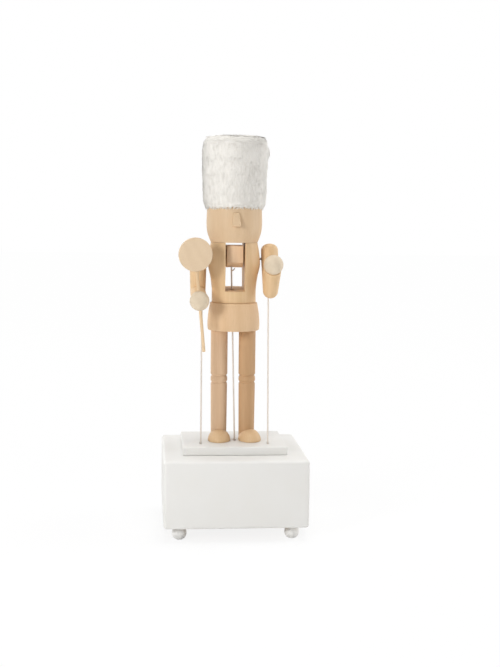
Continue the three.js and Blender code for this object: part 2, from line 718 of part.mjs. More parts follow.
const ARMS = [
  ["right", -1, rightArm, WIRES.right_arm, [stickBore]],
  ["left", 1, leftArm, WIRES.left_arm, []],
];
for (const [name, side, frames, wire, bored] of ARMS) {
  add(`${name}_upper_arm`, upperArm(frames, wire, side), BEECH);
  add(`${name}_forearm`, cut(forearmTurning(0).applyMatrix4(frames.forearm), wireSocket(wire)), BEECH);
  add(`${name}_hand`, hand(frames, bored), PALE_WOOD);
  const nail = join(
    shoulderRod(side, nailTip, nailHead + NAIL_HEAD_T / 2, NAIL_R),
    shoulderRod(side, nailHead, nailHead + NAIL_HEAD_T, NAIL_HEAD_R),
  );
  add(`${name}_shoulder_nail`, nail, DARK_STEEL);
}

// Stick with its flat disc, held in the right fist
add("stick", rod(stickLow, stickTop, STICK_R), PALE_WOOD);
function disc() {
  const half = DISC_T / 2;
  const plain = turned([
    [0, -half],
    ...arc(DISC_R - DISC_ROUND, DISC_ROUND - half, DISC_ROUND, -90, 0, 1),
    ...arc(DISC_R - DISC_ROUND, half - DISC_ROUND, DISC_ROUND, 0, 90, 1),
    [0, half],
  ], 2 * LIMB).rotateX(Math.PI / 2).translate(discAt.x, discAt.y, discAt.z);
  return cut(plain, stickBore);
}
add("disc", disc(), PALE_WOOD);

// Push wires: a hook through the lever, then straight up to the socket it drives
for (const [name, wire] of Object.entries(WIRES)) {
  const hookEnd = v(wire.foot.x + wire.hook, wire.foot.y, wire.foot.z);
  const bend = new THREE.SphereGeometry(WIRE_R, THIN, 4).translate(...wire.foot.toArray());
  const upright = rod(wire.foot, wire.tip, WIRE_R, THIN);
  add(`${name}_wire`, join(upright, rod(wire.foot, hookEnd, WIRE_R, THIN), bend), STEEL);
}

// Levers on their shaft, each over its cam
const leverX = (wire) => wire.foot.x + wire.hook / 2;
function lever(wire) {
  const side = new THREE.Shape();
  const half = LEVER_H / 2;
  side.absarc(LEVER_PIVOT.x, LEVER_PIVOT.y, half + 1, -Math.PI / 2, Math.PI / 2);
  side.absarc(Math.min(wire.foot.y, CYLINDER_AXIS.x - half), wire.foot.z, half, Math.PI / 2, Math.PI * 1.5);
  roundHole(side, LEVER_PIVOT.x, LEVER_PIVOT.y, SHAFT_R + RUN);
  roundHole(side, wire.foot.y, wire.foot.z, WIRE_R + GAP);
  return sheetX(side, leverX(wire) - LEVER_T / 2, leverX(wire) + LEVER_T / 2);
}
for (const [name, wire] of Object.entries(WIRES)) add(`${name}_lever`, lever(wire), BRASS);

// Rod along X at a shaft's place in Y and Z.
function axle(axis, low, high, radius) {
  return rod(v(low, axis.x, axis.y), v(high, axis.x, axis.y), radius);
}

// Frame plates with a foot flange, bored for the shafts
const plateLow = FLOOR + SEAT;
const plateBack = LEVER_PIVOT.x + PLATE_RIM;
function framePlate(side) {
  const inner = side * PLATE_X - PLATE_T / 2;
  const front = CYLINDER_AXIS.x - CAM_MAX_R - PLATE_T;
  const outline = new THREE.Shape();
  outline.moveTo(front, plateLow);
  outline.lineTo(plateBack, plateLow);
  outline.lineTo(plateBack, PLATE_TOP);
  outline.lineTo(LEVER_PIVOT.x - PLATE_RIM, PLATE_TOP);
  outline.lineTo(front, CYLINDER_AXIS.y + CAM_MAX_R);
  for (const axis of [LEVER_PIVOT, CYLINDER_AXIS]) roundHole(outline, axis.x, axis.y, SHAFT_R + RUN);
  const wall = sheetX(outline, inner, inner + PLATE_T);
  const foot = side > 0 ? inner - FLANGE : inner;
  const flange = box([foot, front, plateLow], [foot + FLANGE + PLATE_T, plateBack, plateLow + PLATE_T]);
  return join(wall, flange);
}
add("frame_plate_left", framePlate(-1), ZINC);
add("frame_plate_right", framePlate(1), ZINC);
const shaftEnd = PLATE_X + PLATE_T / 2 + 1;
add("lever_shaft", axle(LEVER_PIVOT, -shaftEnd, shaftEnd, SHAFT_R), STEEL);

// Three lobed cams on the cylinder's shaft
const gearLow = PLATE_X + PLATE_T / 2 + 1;
const gearHigh = gearLow + (INSIDE - gearLow) * GEAR_ROOM;
const flywheelEnd = gearLow + (INSIDE - gearLow) * FLYWHEEL_ROOM;
function cam(wire, lobes) {
  const points = [];
  for (let i = 0; i < CAM_STEPS; i += 1) {
    const angle = (i * Math.PI * 2) / CAM_STEPS;
    const radius = CAM_MAX_R - CAM_LIFT * (0.5 - 0.5 * Math.cos(lobes * (angle - Math.PI / 2)));
    points.push(polar(CYLINDER_AXIS, radius, angle));
  }
  const outline = new THREE.Shape(points);
  roundHole(outline, CYLINDER_AXIS.x, CYLINDER_AXIS.y, SHAFT_R + RUN);
  return sheetX(outline, leverX(wire) - CAM_T / 2, leverX(wire) + CAM_T / 2);
}
add("right_arm_cam", cam(WIRES.right_arm, 3), BRASS);
add("left_arm_cam", cam(WIRES.left_arm, 3), BRASS);
add("jaw_cam", cam(WIRES.jaw, 5), BRASS);

// A gear on the cylinder's shaft, with one tooth pointing back along Y.
function gear(teeth, low, high) {
  const outline = gearOutline(CYLINDER_AXIS, teeth);
  roundHole(outline, CYLINDER_AXIS.x, CYLINDER_AXIS.y, SHAFT_R + RUN);
  return sheetX(outline, low, high);
}

// Pinned music cylinder, its arbor, pinion and gear
const CROWN_R = (MODULE * CROWN_TEETH) / 2;
const pinionX = BARREL_X - CROWN_R;
add("cylinder_arbor", axle(CYLINDER_AXIS, -flywheelEnd - 1, gearHigh + 1, SHAFT_R), STEEL);
add("cylinder_gear", gear(CYLINDER_TEETH, gearLow, gearHigh), BRASS);
const pinionLow = pinionX - PINION_W / 2;
add("cylinder_pinion", gear(PINION_TEETH, pinionLow, pinionLow + PINION_W), STEEL);

// Round wheel blank with a bore.
function wheelOutline(centre, bore) {
  const points = [];
  for (let i = 0; i < CAM_STEPS; i += 1) points.push(polar(centre, WHEEL_R, (i * Math.PI * 2) / CAM_STEPS));
  const outline = new THREE.Shape(points);
  roundHole(outline, centre.x, centre.y, bore + RUN);
  return outline;
}
add("flywheel", sheetX(wheelOutline(CYLINDER_AXIS, SHAFT_R), -flywheelEnd, -gearLow), BRASS);

// Sealed governor behind the cylinder's gear
const governorFront = CYLINDER_AXIS.x + (MODULE * CYLINDER_TEETH) / 2 + ADDENDUM * MODULE + GAP;
function governorCase() {
  const high = plateLow + GOVERNOR_H;
  const middle = v2(governorFront + GOVERNOR_L / 2, high - GOVERNOR_L / 2);
  const shell = box([gearLow, governorFront, plateLow], [gearHigh, governorFront + GOVERNOR_L, high]);
  return join(shell, axle(middle, gearHigh - 1, gearHigh + 2, SHAFT_R * 2));
}
add("governor_case", governorCase(), ZINC);

const notePitch = (DRUM_L - 2) / NOTES;
const noteX = (note) => DRUM_X - DRUM_L / 2 + 1 + (note + 0.5) * notePitch;
function musicCylinder() {
  const half = DRUM_L / 2;
  const bore = SHAFT_R + RUN;
  const drum = turned([[bore, -half], [DRUM_R, -half], [DRUM_R, half], [bore, half], [bore, -half]]);
  drum.rotateY(Math.PI / 2).translate(DRUM_X, 0, 0);
  const pins = [solidOf(drum)];
  for (let note = 0; note < NOTES; note += 1) {
    for (let pin = 0; pin < PINS_PER_NOTE; pin += 1) {
      const place = PIN_FIRST + ((note * PIN_NOTE_STEP + pin * PIN_NEXT_STEP) % PIN_SPAN) + pin / 3;
      const peg = new THREE.CylinderGeometry(PIN_R * PIN_TAPER, PIN_R, 2 * PIN_OUT, 3);
      const turn = (place * Math.PI) / (PIN_PLACES / 2);
      pins.push(solidOf(peg.translate(0, DRUM_R, 0).rotateX(turn).translate(noteX(note), 0, 0)));
    }
  }
  return geometryOf(wasm.Manifold.union(pins)).translate(0, CYLINDER_AXIS.x, CYLINDER_AXIS.y);
}
add("music_cylinder", musicCylinder(), BRASS);

// Bedplate behind the barrel, comb and comb block
const bedFront = plateBack + 1;
const combTip = CYLINDER_AXIS.x + DRUM_R + PIN_OUT + COMB_CLEAR;
const combRoot = combTip + COMB_TOOTH_L;
const combHalf = DRUM_L / 2;
function backPlate() {
  const outline = new THREE.Shape();
  outline.moveTo(DRUM_X - combHalf - 1, FLOOR + SEAT);
  outline.lineTo(BARREL_X + CROWN_R + BACK_PLATE_RIM, FLOOR + SEAT);
  outline.lineTo(BARREL_X + CROWN_R + BACK_PLATE_RIM, arborZ + BACK_PLATE_SIDE);
  outline.lineTo(BARREL_X + CROWN_R / 2, arborZ + BACK_PLATE_PEAK);
  outline.lineTo(DRUM_X - combHalf - 1, arborZ + BACK_PLATE_LOW);
  roundHole(outline, BARREL_X, arborZ, ARBOR_R + RUN);
  return sheetY(outline, bedFront, bedFront + BACK_PLATE_T);
}
add("back_plate", backPlate(), ZINC);

const combLow = CYLINDER_AXIS.y - COMB_T / 2;
add(
  "comb_block",
  box(
    [DRUM_X - combHalf, combRoot - 1, FLOOR + SEAT],
    [DRUM_X + combHalf, combRoot + COMB_BACK, combLow - SEAT],
  ),
  ZINC,
);
function comb() {
  const outline = new THREE.Shape();
  outline.moveTo(DRUM_X + combHalf, combRoot);
  outline.lineTo(DRUM_X + combHalf, combRoot + COMB_BACK);
  outline.lineTo(DRUM_X - combHalf, combRoot + COMB_BACK);
  outline.lineTo(DRUM_X - combHalf, combRoot);
  for (let note = 0; note < NOTES; note += 1) {
    for (const [share, y] of [[-0.36, combRoot], [-0.25, combTip], [0.25, combTip], [0.36, combRoot]]) {
      outline.lineTo(noteX(note) + share * notePitch, y);
    }
  }
  return sheetZ(outline, combLow, combLow + COMB_T);
}
add("comb", comb(), STEEL);

// Spring barrel with crown teeth that drive the cylinder's pinion
const crownPitchY = CYLINDER_AXIS.x + (MODULE * PINION_TEETH) / 2 + MESH_PLAY;
const crownTip = crownPitchY - ADDENDUM * MODULE;
const barrelFace = crownPitchY + DEDENDUM * MODULE;
const barrelR = CROWN_R + CROWN_W / 2;
const barrelBack = barrelFace + BARREL_L;
function springBarrel() {
  const cup = turned([
    [ARBOR_R + RUN, 0],
    [barrelR, 0],
    [barrelR, BARREL_L],
    [barrelR - BARREL_WALL, BARREL_L],
    [barrelR - BARREL_WALL, BARREL_WALL],
    [ARBOR_R + RUN, BARREL_WALL],
    [ARBOR_R + RUN, 0],
  ]);
  const pieces = [solidOf(cup)];
  const pitch = (Math.PI * 2) / CROWN_TEETH;
  const foot = TOOTH_FOOT * pitch * CROWN_R;
  const tip = TOOTH_TIP * pitch * CROWN_R;
  const flank = new THREE.Shape();
  flank.moveTo(-foot, BARREL_WALL / 2);
  flank.lineTo(-foot, 0);
  flank.lineTo(-tip, crownTip - barrelFace);
  flank.lineTo(tip, crownTip - barrelFace);
  flank.lineTo(foot, 0);
  flank.lineTo(foot, BARREL_WALL / 2);
  for (let tooth = 0; tooth < CROWN_TEETH; tooth += 1) {
    const block = sheetX(flank, CROWN_R - CROWN_W / 2, barrelR - SEAT);
    pieces.push(solidOf(block.rotateZ((tooth + 0.5) * pitch)));
  }
  const barrel = geometryOf(wasm.Manifold.union(pieces)).rotateX(-Math.PI / 2);
  return barrel.translate(BARREL_X, barrelFace, arborZ);
}
add("spring_barrel", springBarrel(), BRASS);

function mainspring() {
  const steps = SPRING_STEPS * SPRING_TURNS;
  const inner = ARBOR_R + 1;
  const outer = barrelR - BARREL_WALL - GAP - SPRING_T;
  const edge = (i, lift) => {
    const radius = THREE.MathUtils.lerp(inner, outer, i / steps) + lift;
    const angle = (i * Math.PI * 2) / SPRING_STEPS;
    return new THREE.Vector2(BARREL_X + radius * Math.cos(angle), arborZ + radius * Math.sin(angle));
  };
  const points = [];
  for (let i = 0; i <= steps; i += 1) points.push(edge(i, SPRING_T));
  for (let i = steps; i >= 0; i -= 1) points.push(edge(i, 0));
  return sheetY(new THREE.Shape(points), barrelFace + BARREL_WALL + GAP, barrelBack - 0.5);
}
add("mainspring", mainspring(), STEEL);

// Winding arbor and winged key behind the case
const keyHubEnd = CASE_W / 2 + KEY_OUT - KEY_WING_R;
const keyHubStart = CASE_W / 2 - KEY_HUB_IN;
function along(y) {
  return v(BARREL_X, y, arborZ);
}
const arborEnd = keyHubEnd - KEY_HUB_WALL;
add("winding_arbor", rod(along(barrelFace - 1), along(arborEnd), ARBOR_R), STEEL);
const wheelFront = bedFront + BACK_PLATE_T + 1;
const wheelBack = wheelFront + (INSIDE - wheelFront) * WINDING_WHEEL_ROOM;
add("winding_wheel", sheetY(wheelOutline(v2(BARREL_X, arborZ), ARBOR_R), wheelFront, wheelBack), BRASS);
function windingKey() {
  const wings = new THREE.Shape();
  const wingX = KEY_HUB_R + KEY_WING_R * 0.8;
  wings.moveTo(BARREL_X - KEY_HUB_R, keyHubEnd - KEY_WING_R);
  wings.lineTo(BARREL_X + KEY_HUB_R, keyHubEnd - KEY_WING_R);
  wings.absarc(BARREL_X + wingX, keyHubEnd, KEY_WING_R, -Math.PI * 0.6, Math.PI * 0.7);
  wings.lineTo(BARREL_X, keyHubEnd + KEY_WING_R * 0.3);
  wings.absarc(BARREL_X - wingX, keyHubEnd, KEY_WING_R, Math.PI * 0.3, Math.PI * 1.6);
  const body = join(
    sheetZ(wings, arborZ - KEY_WING_T / 2, arborZ + KEY_WING_T / 2),
    rod(along(keyHubStart), along(keyHubEnd), KEY_HUB_R, LIMB),
  );
  return cut(body, rod(along(keyHubStart - 1), along(arborEnd + GAP), ARBOR_R + RUN));
}
add("winding_key", windingKey(), BRASS);

// Bottom screws
for (const [corner, sx, sy] of corners) {
  const screw = join(
    rod(v(0, 0, CASE_BOTTOM - SCREW_HEAD_T), v(0, 0, CASE_BOTTOM + SCREW_L), SCREW_R, THIN),
    turned([
      [0, CASE_BOTTOM - SCREW_HEAD_T],
      [SCREW_HEAD_R * 0.6, CASE_BOTTOM - SCREW_HEAD_T],
      [SCREW_HEAD_R, CASE_BOTTOM - SEAT],
      [0, CASE_BOTTOM - SEAT],
    ], THIN),
  );
  add(`screw_${corner}`, screw, STEEL).position.set(sx * screwPlace, sy * BLOCK_Y, 0);
}

export default musicBox;
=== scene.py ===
"""Looks of the nutcracker music box: turned pale wood, white painted box, plush hat and bright wires.

Sizes are in mm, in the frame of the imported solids, and become metres where a mesh or a matrix is made.
"""

import json
import math
import random

import bmesh
import bpy
from mathutils import Matrix, Vector, noise

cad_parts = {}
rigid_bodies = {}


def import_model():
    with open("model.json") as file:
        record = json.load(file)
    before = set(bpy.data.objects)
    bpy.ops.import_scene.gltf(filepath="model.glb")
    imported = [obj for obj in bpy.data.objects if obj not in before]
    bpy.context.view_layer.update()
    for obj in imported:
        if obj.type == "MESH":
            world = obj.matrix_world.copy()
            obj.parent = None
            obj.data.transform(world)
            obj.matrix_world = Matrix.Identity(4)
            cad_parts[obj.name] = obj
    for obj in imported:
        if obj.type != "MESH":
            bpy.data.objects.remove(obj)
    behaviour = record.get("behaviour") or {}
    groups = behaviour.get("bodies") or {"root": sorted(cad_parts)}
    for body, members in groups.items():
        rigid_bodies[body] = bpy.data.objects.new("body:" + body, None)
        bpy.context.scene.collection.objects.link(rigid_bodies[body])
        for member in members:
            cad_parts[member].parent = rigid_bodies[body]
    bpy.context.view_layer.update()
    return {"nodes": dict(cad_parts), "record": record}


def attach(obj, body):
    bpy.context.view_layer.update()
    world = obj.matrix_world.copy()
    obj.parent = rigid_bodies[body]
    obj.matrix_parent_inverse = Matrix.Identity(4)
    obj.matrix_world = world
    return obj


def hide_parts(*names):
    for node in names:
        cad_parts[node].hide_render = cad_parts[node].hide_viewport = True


MM = 0.001
FIGURE_Y = -8.0  # the figure and the case are centred here
SHARP = math.radians(38)  # edges that turn by more than this stay sharp
PRISM_EDGE = 0.5  # edges of a prism that turn by more than this are bevelled, in radians
CORNER_SHARE = 0.45  # the most of a side that one rounded corner takes
TINY = 1e-5

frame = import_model()
for other in list(bpy.data.objects):
    if other.type in ("CAMERA", "LIGHT"):
        bpy.data.objects.remove(other)

# Levels and places that several pieces share
CASE_BOTTOM, CASE_TOP = 10.0, 62.0
CASE_HALF, CASE_WALL = 55.0, 6.0
STAGE_BASE, STAGE_TOP = 62.1, 68.4
STAGE_HALF_X, STAGE_HALF_Y = 40, 34
FOOT_SPREAD = 43
LEG_BASE, LEG_TOP, LEG_X = 68.5, 155.5, 11.0
LEG_PEG_R, LEG_PEG_TOP = 3.5, LEG_TOP + 6
SKIRT_BASE, SKIRT_TOP = 155.6, 177.1
TORSO_BASE, CHEST, NECK = 177.2, 187.2, 223.8
WAIST_R, NECK_R = 17.2, 18.2
HEAD_BASE, HEAD_TOP, HEAD_R = 223.9, 251.9, 21.65
SHOULDER, ARM_X = 211.1, 28.0
JAW_PIN, JAW_PIN_HOLE = 214.1, 1.4
KEY_X, KEY_Z = 16, 28.7


def placed(x=0.0, y=FIGURE_Y, z=0.0):
    """Matrix of a place given in mm."""
    return Matrix.Translation(Vector((x, y, z)) * MM)


def turn_x(degrees):
    return Matrix.Rotation(math.radians(degrees), 4, "X")


# Mesh helpers


def make(name, verts, faces, matrix=None):
    mesh = bpy.data.meshes.new(name)
    mesh.from_pydata([Vector(v) * MM for v in verts], [], faces)
    obj = bpy.data.objects.new(name, mesh)
    bpy.context.scene.collection.objects.link(obj)
    if matrix is not None:
        obj.matrix_world = matrix
    return obj


def smooth(obj):
    obj.data.shade_smooth()
    obj.data.set_sharp_from_angle(angle=SHARP)
    return obj


def curve(points, count):
    """Points of a smooth curve through (radius, height) pairs."""
    ends = [2 * Vector(points[0]) - Vector(points[1]), 2 * Vector(points[-1]) - Vector(points[-2])]
    line = [ends[0], *map(Vector, points), ends[1]]
    out = []
    for i in range(1, len(line) - 2):
        a, b, c, d = line[i - 1 : i + 3]
        for k in range(count):
            t = k / count
            p = 2 * b + (c - a) * t + (2 * a - 5 * b + 4 * c - d) * t**2 + (3 * b - a - 3 * c + d) * t**3
            out.append(tuple(p / 2))
    out.append(tuple(points[-1]))
    return out


def eased(points, radius, steps=4):
    """The same line with each corner rounded off."""
    out = []
    last = len(points) - 1
    for i, point in enumerate(points):
        if i in (0, last):
            out.append(tuple(point))
            continue
        before, here, after = Vector(points[i - 1]), Vector(point), Vector(points[i + 1])
        back, ahead = before - here, after - here
        reach = min(radius, back.length * CORNER_SHARE, ahead.length * CORNER_SHARE)
        if reach < TINY:
            out.append(tuple(here))
            continue
        start, end = here + back.normalized() * reach, here + ahead.normalized() * reach
        for k in range(steps + 1):
            t = k / steps
            out.append(tuple(start * (1 - t) ** 2 + here * 2 * t * (1 - t) + end * t * t))
    return out


def lathe(name, profile, matrix=None, seg=96):
    """A turned piece about its own Z from (radius, height) pairs that run up the outside."""
    verts, faces, rings = [], [], []
    for r, z in profile:
        if r < TINY:
            rings.append([len(verts)])
            verts.append((0, 0, z))
            continue
        rings.append(range(len(verts), len(verts) + seg))
        for i in range(seg):
            a = 2 * math.pi * i / seg
            verts.append((r * math.cos(a), r * math.sin(a), z))
    for low, high in zip(rings, rings[1:]):
        for i in range(seg):
            k = (i + 1) % seg
            if len(low) > 1 and len(high) > 1:
                faces.append((low[i], low[k], high[k], high[i]))
            elif len(high) > 1:
                faces.append((low[0], high[k], high[i]))
            elif len(low) > 1:
                faces.append((low[i], low[k], high[0]))
    return make(name, verts, faces, matrix)


def prism(name, outline, low, high, axis, bevel=0.0, steps=3):
    """An outline carried from low to high along x or z, with its edges rounded by the bevel."""
    count = len(outline)
    verts = [(w, u, v) if axis == "x" else (u, v, w) for w in (low, high) for u, v in outline]
    faces = [tuple(range(count)), tuple(range(count, 2 * count))]
    faces += [(i, (i + 1) % count, count + (i + 1) % count, count + i) for i in range(count)]
    obj = make(name, verts, faces)
    work = bmesh.new()
    work.from_mesh(obj.data)
    bmesh.ops.recalc_face_normals(work, faces=work.faces)
    if bevel:
        edges = [e for e in work.edges if e.calc_face_angle(0) > PRISM_EDGE]
        bmesh.ops.bevel(work, geom=edges, offset=bevel * MM, segments=steps, profile=0.5, affect="EDGES")
    work.to_mesh(obj.data)
    work.free()
    return obj


def slab(name, low, high, bevel=0.0, steps=3):
    rect = [(low[0], low[1]), (high[0], low[1]), (high[0], high[1]), (low[0], high[1])]
    return prism(name, rect, low[2], high[2], "z", bevel, steps)


def rod_tool(start, end, radius, seg=48):
    """A cutting rod between two places."""
    start, end = Vector(start), Vector(end)
    turn = (end - start).to_track_quat("Z", "Y").to_matrix().to_4x4()
    length = (end - start).length
    profile = [(0, 0), (radius, 0), (radius, length), (0, length)]
    return lathe("tool", profile, Matrix.Translation(start * MM) @ turn, seg)


def settle(obj):
    """Keeps what the modifiers make as the object's own mesh."""
    graph = bpy.context.evaluated_depsgraph_get()
    mesh = bpy.data.meshes.new_from_object(obj.evaluated_get(graph))
    obj.modifiers.clear()
    obj.data = mesh
    return obj


def bevel_edges(obj, width, steps):
    bevel = obj.modifiers.new("edge", "BEVEL")
    bevel.width = width * MM
    bevel.segments = steps
    bevel.limit_method = "ANGLE"
    bevel.angle_limit = math.radians(45)
    settle(obj)


def carve(obj, *tools, edge=0.0):
    for tool in tools:
        cut = obj.modifiers.new("cut", "BOOLEAN")
        cut.operation = "DIFFERENCE"
        cut.solver = "EXACT"
        cut.object = tool
    settle(obj)
    for tool in tools:
        bpy.data.objects.remove(tool)
    if edge:
        bevel_edges(obj, edge, 2)
    return obj


def tube(name, path, radius, seg=16):
    """A round wire along a path, with pointed ends."""
    points = [Vector(p) for p in path]
    verts, faces = [], []
    side = (points[1] - points[0]).orthogonal().normalized()
    for i, p in enumerate(points):
        way = (points[min(i + 1, len(points) - 1)] - points[max(i - 1, 0)]).normalized()
        side = (side - way * side.dot(way)).normalized()
        across = way.cross(side)
        for k in range(seg):
            a = 2 * math.pi * k / seg
            verts.append(p + (side * math.cos(a) + across * math.sin(a)) * radius)
    for i in range(len(points) - 1):
        for k in range(seg):
            n = (k + 1) % seg
            faces.append((i * seg + k, i * seg + n, (i + 1) * seg + n, (i + 1) * seg + k))
    for at, way, first, flip in (
        (points[0], points[0] - points[1], 0, True),
        (points[-1], points[-1] - points[-2], (len(points) - 1) * seg, False),
    ):
        tip = len(verts)
        verts.append(at + way.normalized() * radius * 0.6)
        for k in range(seg):
            n = (k + 1) % seg
            ring = (first + k, first + n, tip)
            faces.append(ring[::-1] if flip else ring)
    return smooth(make(name, verts, faces))


# Materials


def srgb(r, g, b):
    """Linear colour from 0-255 values."""
    out = []
    for c in (r, g, b):
        c /= 255
        out.append(c / 12.92 if c <= 0.04045 else ((c + 0.055) / 1.055) ** 2.4)
    return (*out, 1.0)


class Nodes:
    """A material under construction, with short calls for its nodes."""

    def __init__(self, name, rough=0.5, metal=0.0, specular=0.5):
        self.mat = bpy.data.materials.new(name)
        self.mat.use_nodes = True
        self.tree = self.mat.node_tree
        self.bsdf = self.tree.nodes["Principled BSDF"]
        self.bsdf.inputs["Roughness"].default_value = rough
        self.bsdf.inputs["Metallic"].default_value = metal
        self.bsdf.inputs["Specular IOR Level"].default_value = specular
        self.coords = self.tree.nodes.new("ShaderNodeTexCoord").outputs["Object"]

    def node(self, kind, **values):
        made = self.tree.nodes.new(kind)
        for key, value in values.items():
            if key in made.inputs:
                made.inputs[key].default_value = value
            else:
                setattr(made, key, value)
        return made

    def link(self, source, target):
        self.tree.links.new(source, target)

    def mapped(self, location=(0, 0, 0), scale=(1, 1, 1), rotation=(0, 0, 0)):
        mapping = self.node("ShaderNodeMapping")
        mapping.inputs["Location"].default_value = location
        mapping.inputs["Scale"].default_value = scale
        mapping.inputs["Rotation"].default_value = rotation
        self.link(self.coords, mapping.inputs["Vector"])
        return mapping.outputs["Vector"]

    def noise(self, vector, scale, detail=3.0, rough=0.55):
        made = self.node("ShaderNodeTexNoise", Scale=scale, Detail=detail, Roughness=rough)
        self.link(vector, made.inputs["Vector"])
        return made.outputs["Fac"]

    def ramp(self, value, *stops):
        made = self.node("ShaderNodeValToRGB")
        elements = made.color_ramp.elements
        while len(elements) < len(stops):
            elements.new(0.5)
        for element, (place, color) in zip(elements, stops):
            element.position = place
            element.color = color if len(color) == 4 else (*color, 1)
        self.link(value, made.inputs["Fac"])
        return made.outputs["Color"]

    def span(self, value, low, high, to_low, to_high):
        made = self.node("ShaderNodeMapRange")
        for key, number in zip(("From Min", "From Max", "To Min", "To Max"), (low, high, to_low, to_high)):
            made.inputs[key].default_value = number
        self.link(value, made.inputs["Value"])
        return made.outputs["Result"]

    def math(self, operation, a, b):
        made = self.node("ShaderNodeMath", operation=operation)
        for socket, value in zip(made.inputs, (a, b)):
            if isinstance(value, (int, float)):
                socket.default_value = value
            else:
                self.link(value, socket)
        return made.outputs[0]

    def mix(self, share, a, b):
        made = self.node("ShaderNodeMix", data_type="RGBA")
        for socket, value in zip((made.inputs[0], made.inputs[6], made.inputs[7]), (share, a, b)):
            if isinstance(value, (int, float, tuple)):
                socket.default_value = value
            else:
                self.link(value, socket)
        return made.outputs[2]

    def color(self, source):
        self.link(source, self.bsdf.inputs["Base Color"])

    def roughness(self, source):
        self.link(source, self.bsdf.inputs["Roughness"])

    def bump(self, height, strength, distance_mm):
        made = self.node("ShaderNodeBump", Strength=strength, Distance=distance_mm * MM)
        self.link(height, made.inputs["Height"])
        self.link(made.outputs["Normal"], self.bsdf.inputs["Normal"])


WAVE_BAND = 314  # the wave texture's band at a scale of 1, in mm


def wood(name, light, dark, seed, ring=2.6, turn=(0, 0, 0)):
    """Bare pale wood whose grain runs along the piece's own Z, before the turn."""
    n = Nodes(name, rough=0.55, specular=0.3)
    shift = (seed * 0.137, seed * 0.071, seed * 0.053)
    long_grain = n.mapped(shift, (1, 1, 0.05), turn)
    bands = n.node(
        "ShaderNodeTexWave", wave_type="BANDS", bands_direction="DIAGONAL", Scale=WAVE_BAND / ring / 2,
        Distortion=5.0, Detail=2.5,
    )
    bands.inputs["Detail Scale"].default_value = 0.8
    n.link(n.mapped(shift, (1, 0.5, 0.05), turn), bands.inputs["Vector"])
    streak = n.noise(long_grain, 900, 4, 0.6)
    pores = n.span(n.noise(n.mapped(shift, (1, 1, 0.03), turn), 2600, 2, 0.5), 0.63, 0.74, 0, 1)
    cloud = n.noise(n.mapped(shift, (1, 1, 0.35), turn), 55, 3, 0.5)
    grain = n.math("ADD", n.math("MULTIPLY", bands.outputs["Fac"], 0.16), n.math("MULTIPLY", streak, 0.5))
    grain = n.math("ADD", grain, n.math("MULTIPLY", cloud, 0.35))
    tone = n.ramp(n.span(grain, 0.25, 0.85, 0, 1), (0.0, light), (1.0, dark))
    n.color(n.mix(n.math("MULTIPLY", pores, 0.22), tone, tuple(c * 0.62 for c in dark[:3]) + (1,)))
    n.roughness(n.span(streak, 0.3, 0.7, 0.5, 0.64))
    n.bump(n.math("SUBTRACT", n.math("MULTIPLY", streak, 0.6), pores), 0.18, 0.12)
    return n.mat


def paint(name, color, seed):
    """Satin white paint over wood: faint brush lines, a little waviness, tiny specks."""
    n = Nodes(name, rough=0.45, specular=0.4)
    shift = (seed * 0.11, seed * 0.07, seed * 0.05)
    wave = n.noise(n.mapped(shift), 38, 3, 0.5)
    brush = n.noise(n.mapped(shift, (0.06, 0.06, 1)), 1500, 3, 0.6)
    speck = n.span(n.noise(n.mapped(shift), 620, 1, 0.4), 0.74, 0.8, 0, 1)
    warm = tuple(c * k for c, k in zip(color[:3], (0.985, 0.982, 0.972))) + (1,)
    tone = n.mix(n.span(wave, 0.35, 0.68, 0, 1), color, warm)
    n.color(n.mix(n.math("MULTIPLY", speck, 0.12), tone, tuple(c * 0.8 for c in color[:3]) + (1,)))
    n.roughness(n.span(wave, 0.3, 0.7, 0.4, 0.52))
    n.bump(n.math("ADD", n.math("MULTIPLY", wave, 0.8), n.math("MULTIPLY", brush, 0.3)), 0.08, 0.12)
    return n.mat


def metal(name, light, dark, rough, stretch, seed, share=1.0):
    """Metal with fine drawn or turned lines and small stains; a share below 1 dulls its mirror."""
    n = Nodes(name, rough=rough, metal=share)
    shift = (seed * 0.09, seed * 0.13, seed * 0.05)
    lines = n.noise(n.mapped(shift, stretch), 2600, 2, 0.5)
    stain = n.noise(n.mapped(shift), 210, 4, 0.6)
    tarnish = n.math("ADD", n.math("MULTIPLY", lines, 0.4), n.math("MULTIPLY", stain, 0.6))
    n.color(n.ramp(tarnish, (0.3, dark), (0.62, light)))
    n.roughness(n.span(stain, 0.3, 0.7, rough - 0.07, rough + 0.12))
    n.bump(lines, 0.1, 0.05)
    return n.mat


def plywood(name):
    """Bare plywood: broad face grain, with the plies' lines on its edges."""
    n = Nodes(name, rough=0.7, specular=0.25)
    streak = n.noise(n.mapped((0.3, 0.1, 0), (0.08, 1, 1)), 420, 4, 0.6)
    plies = n.node(
        "ShaderNodeTexWave", wave_type="BANDS", bands_direction="Z", Scale=190.0, Distortion=0.6, Detail=1.0,
    )
    n.link(n.coords, plies.inputs["Vector"])
    tone = n.ramp(streak, (0.32, srgb(222, 198, 160)), (0.7, srgb(190, 158, 116)))
    n.color(n.mix(n.math("MULTIPLY", plies.outputs["Fac"], 0.25), tone, srgb(150, 116, 80)))
    n.roughness(n.span(streak, 0.3, 0.7, 0.62, 0.78))
    n.bump(streak, 0.2, 0.15)
    return n.mat


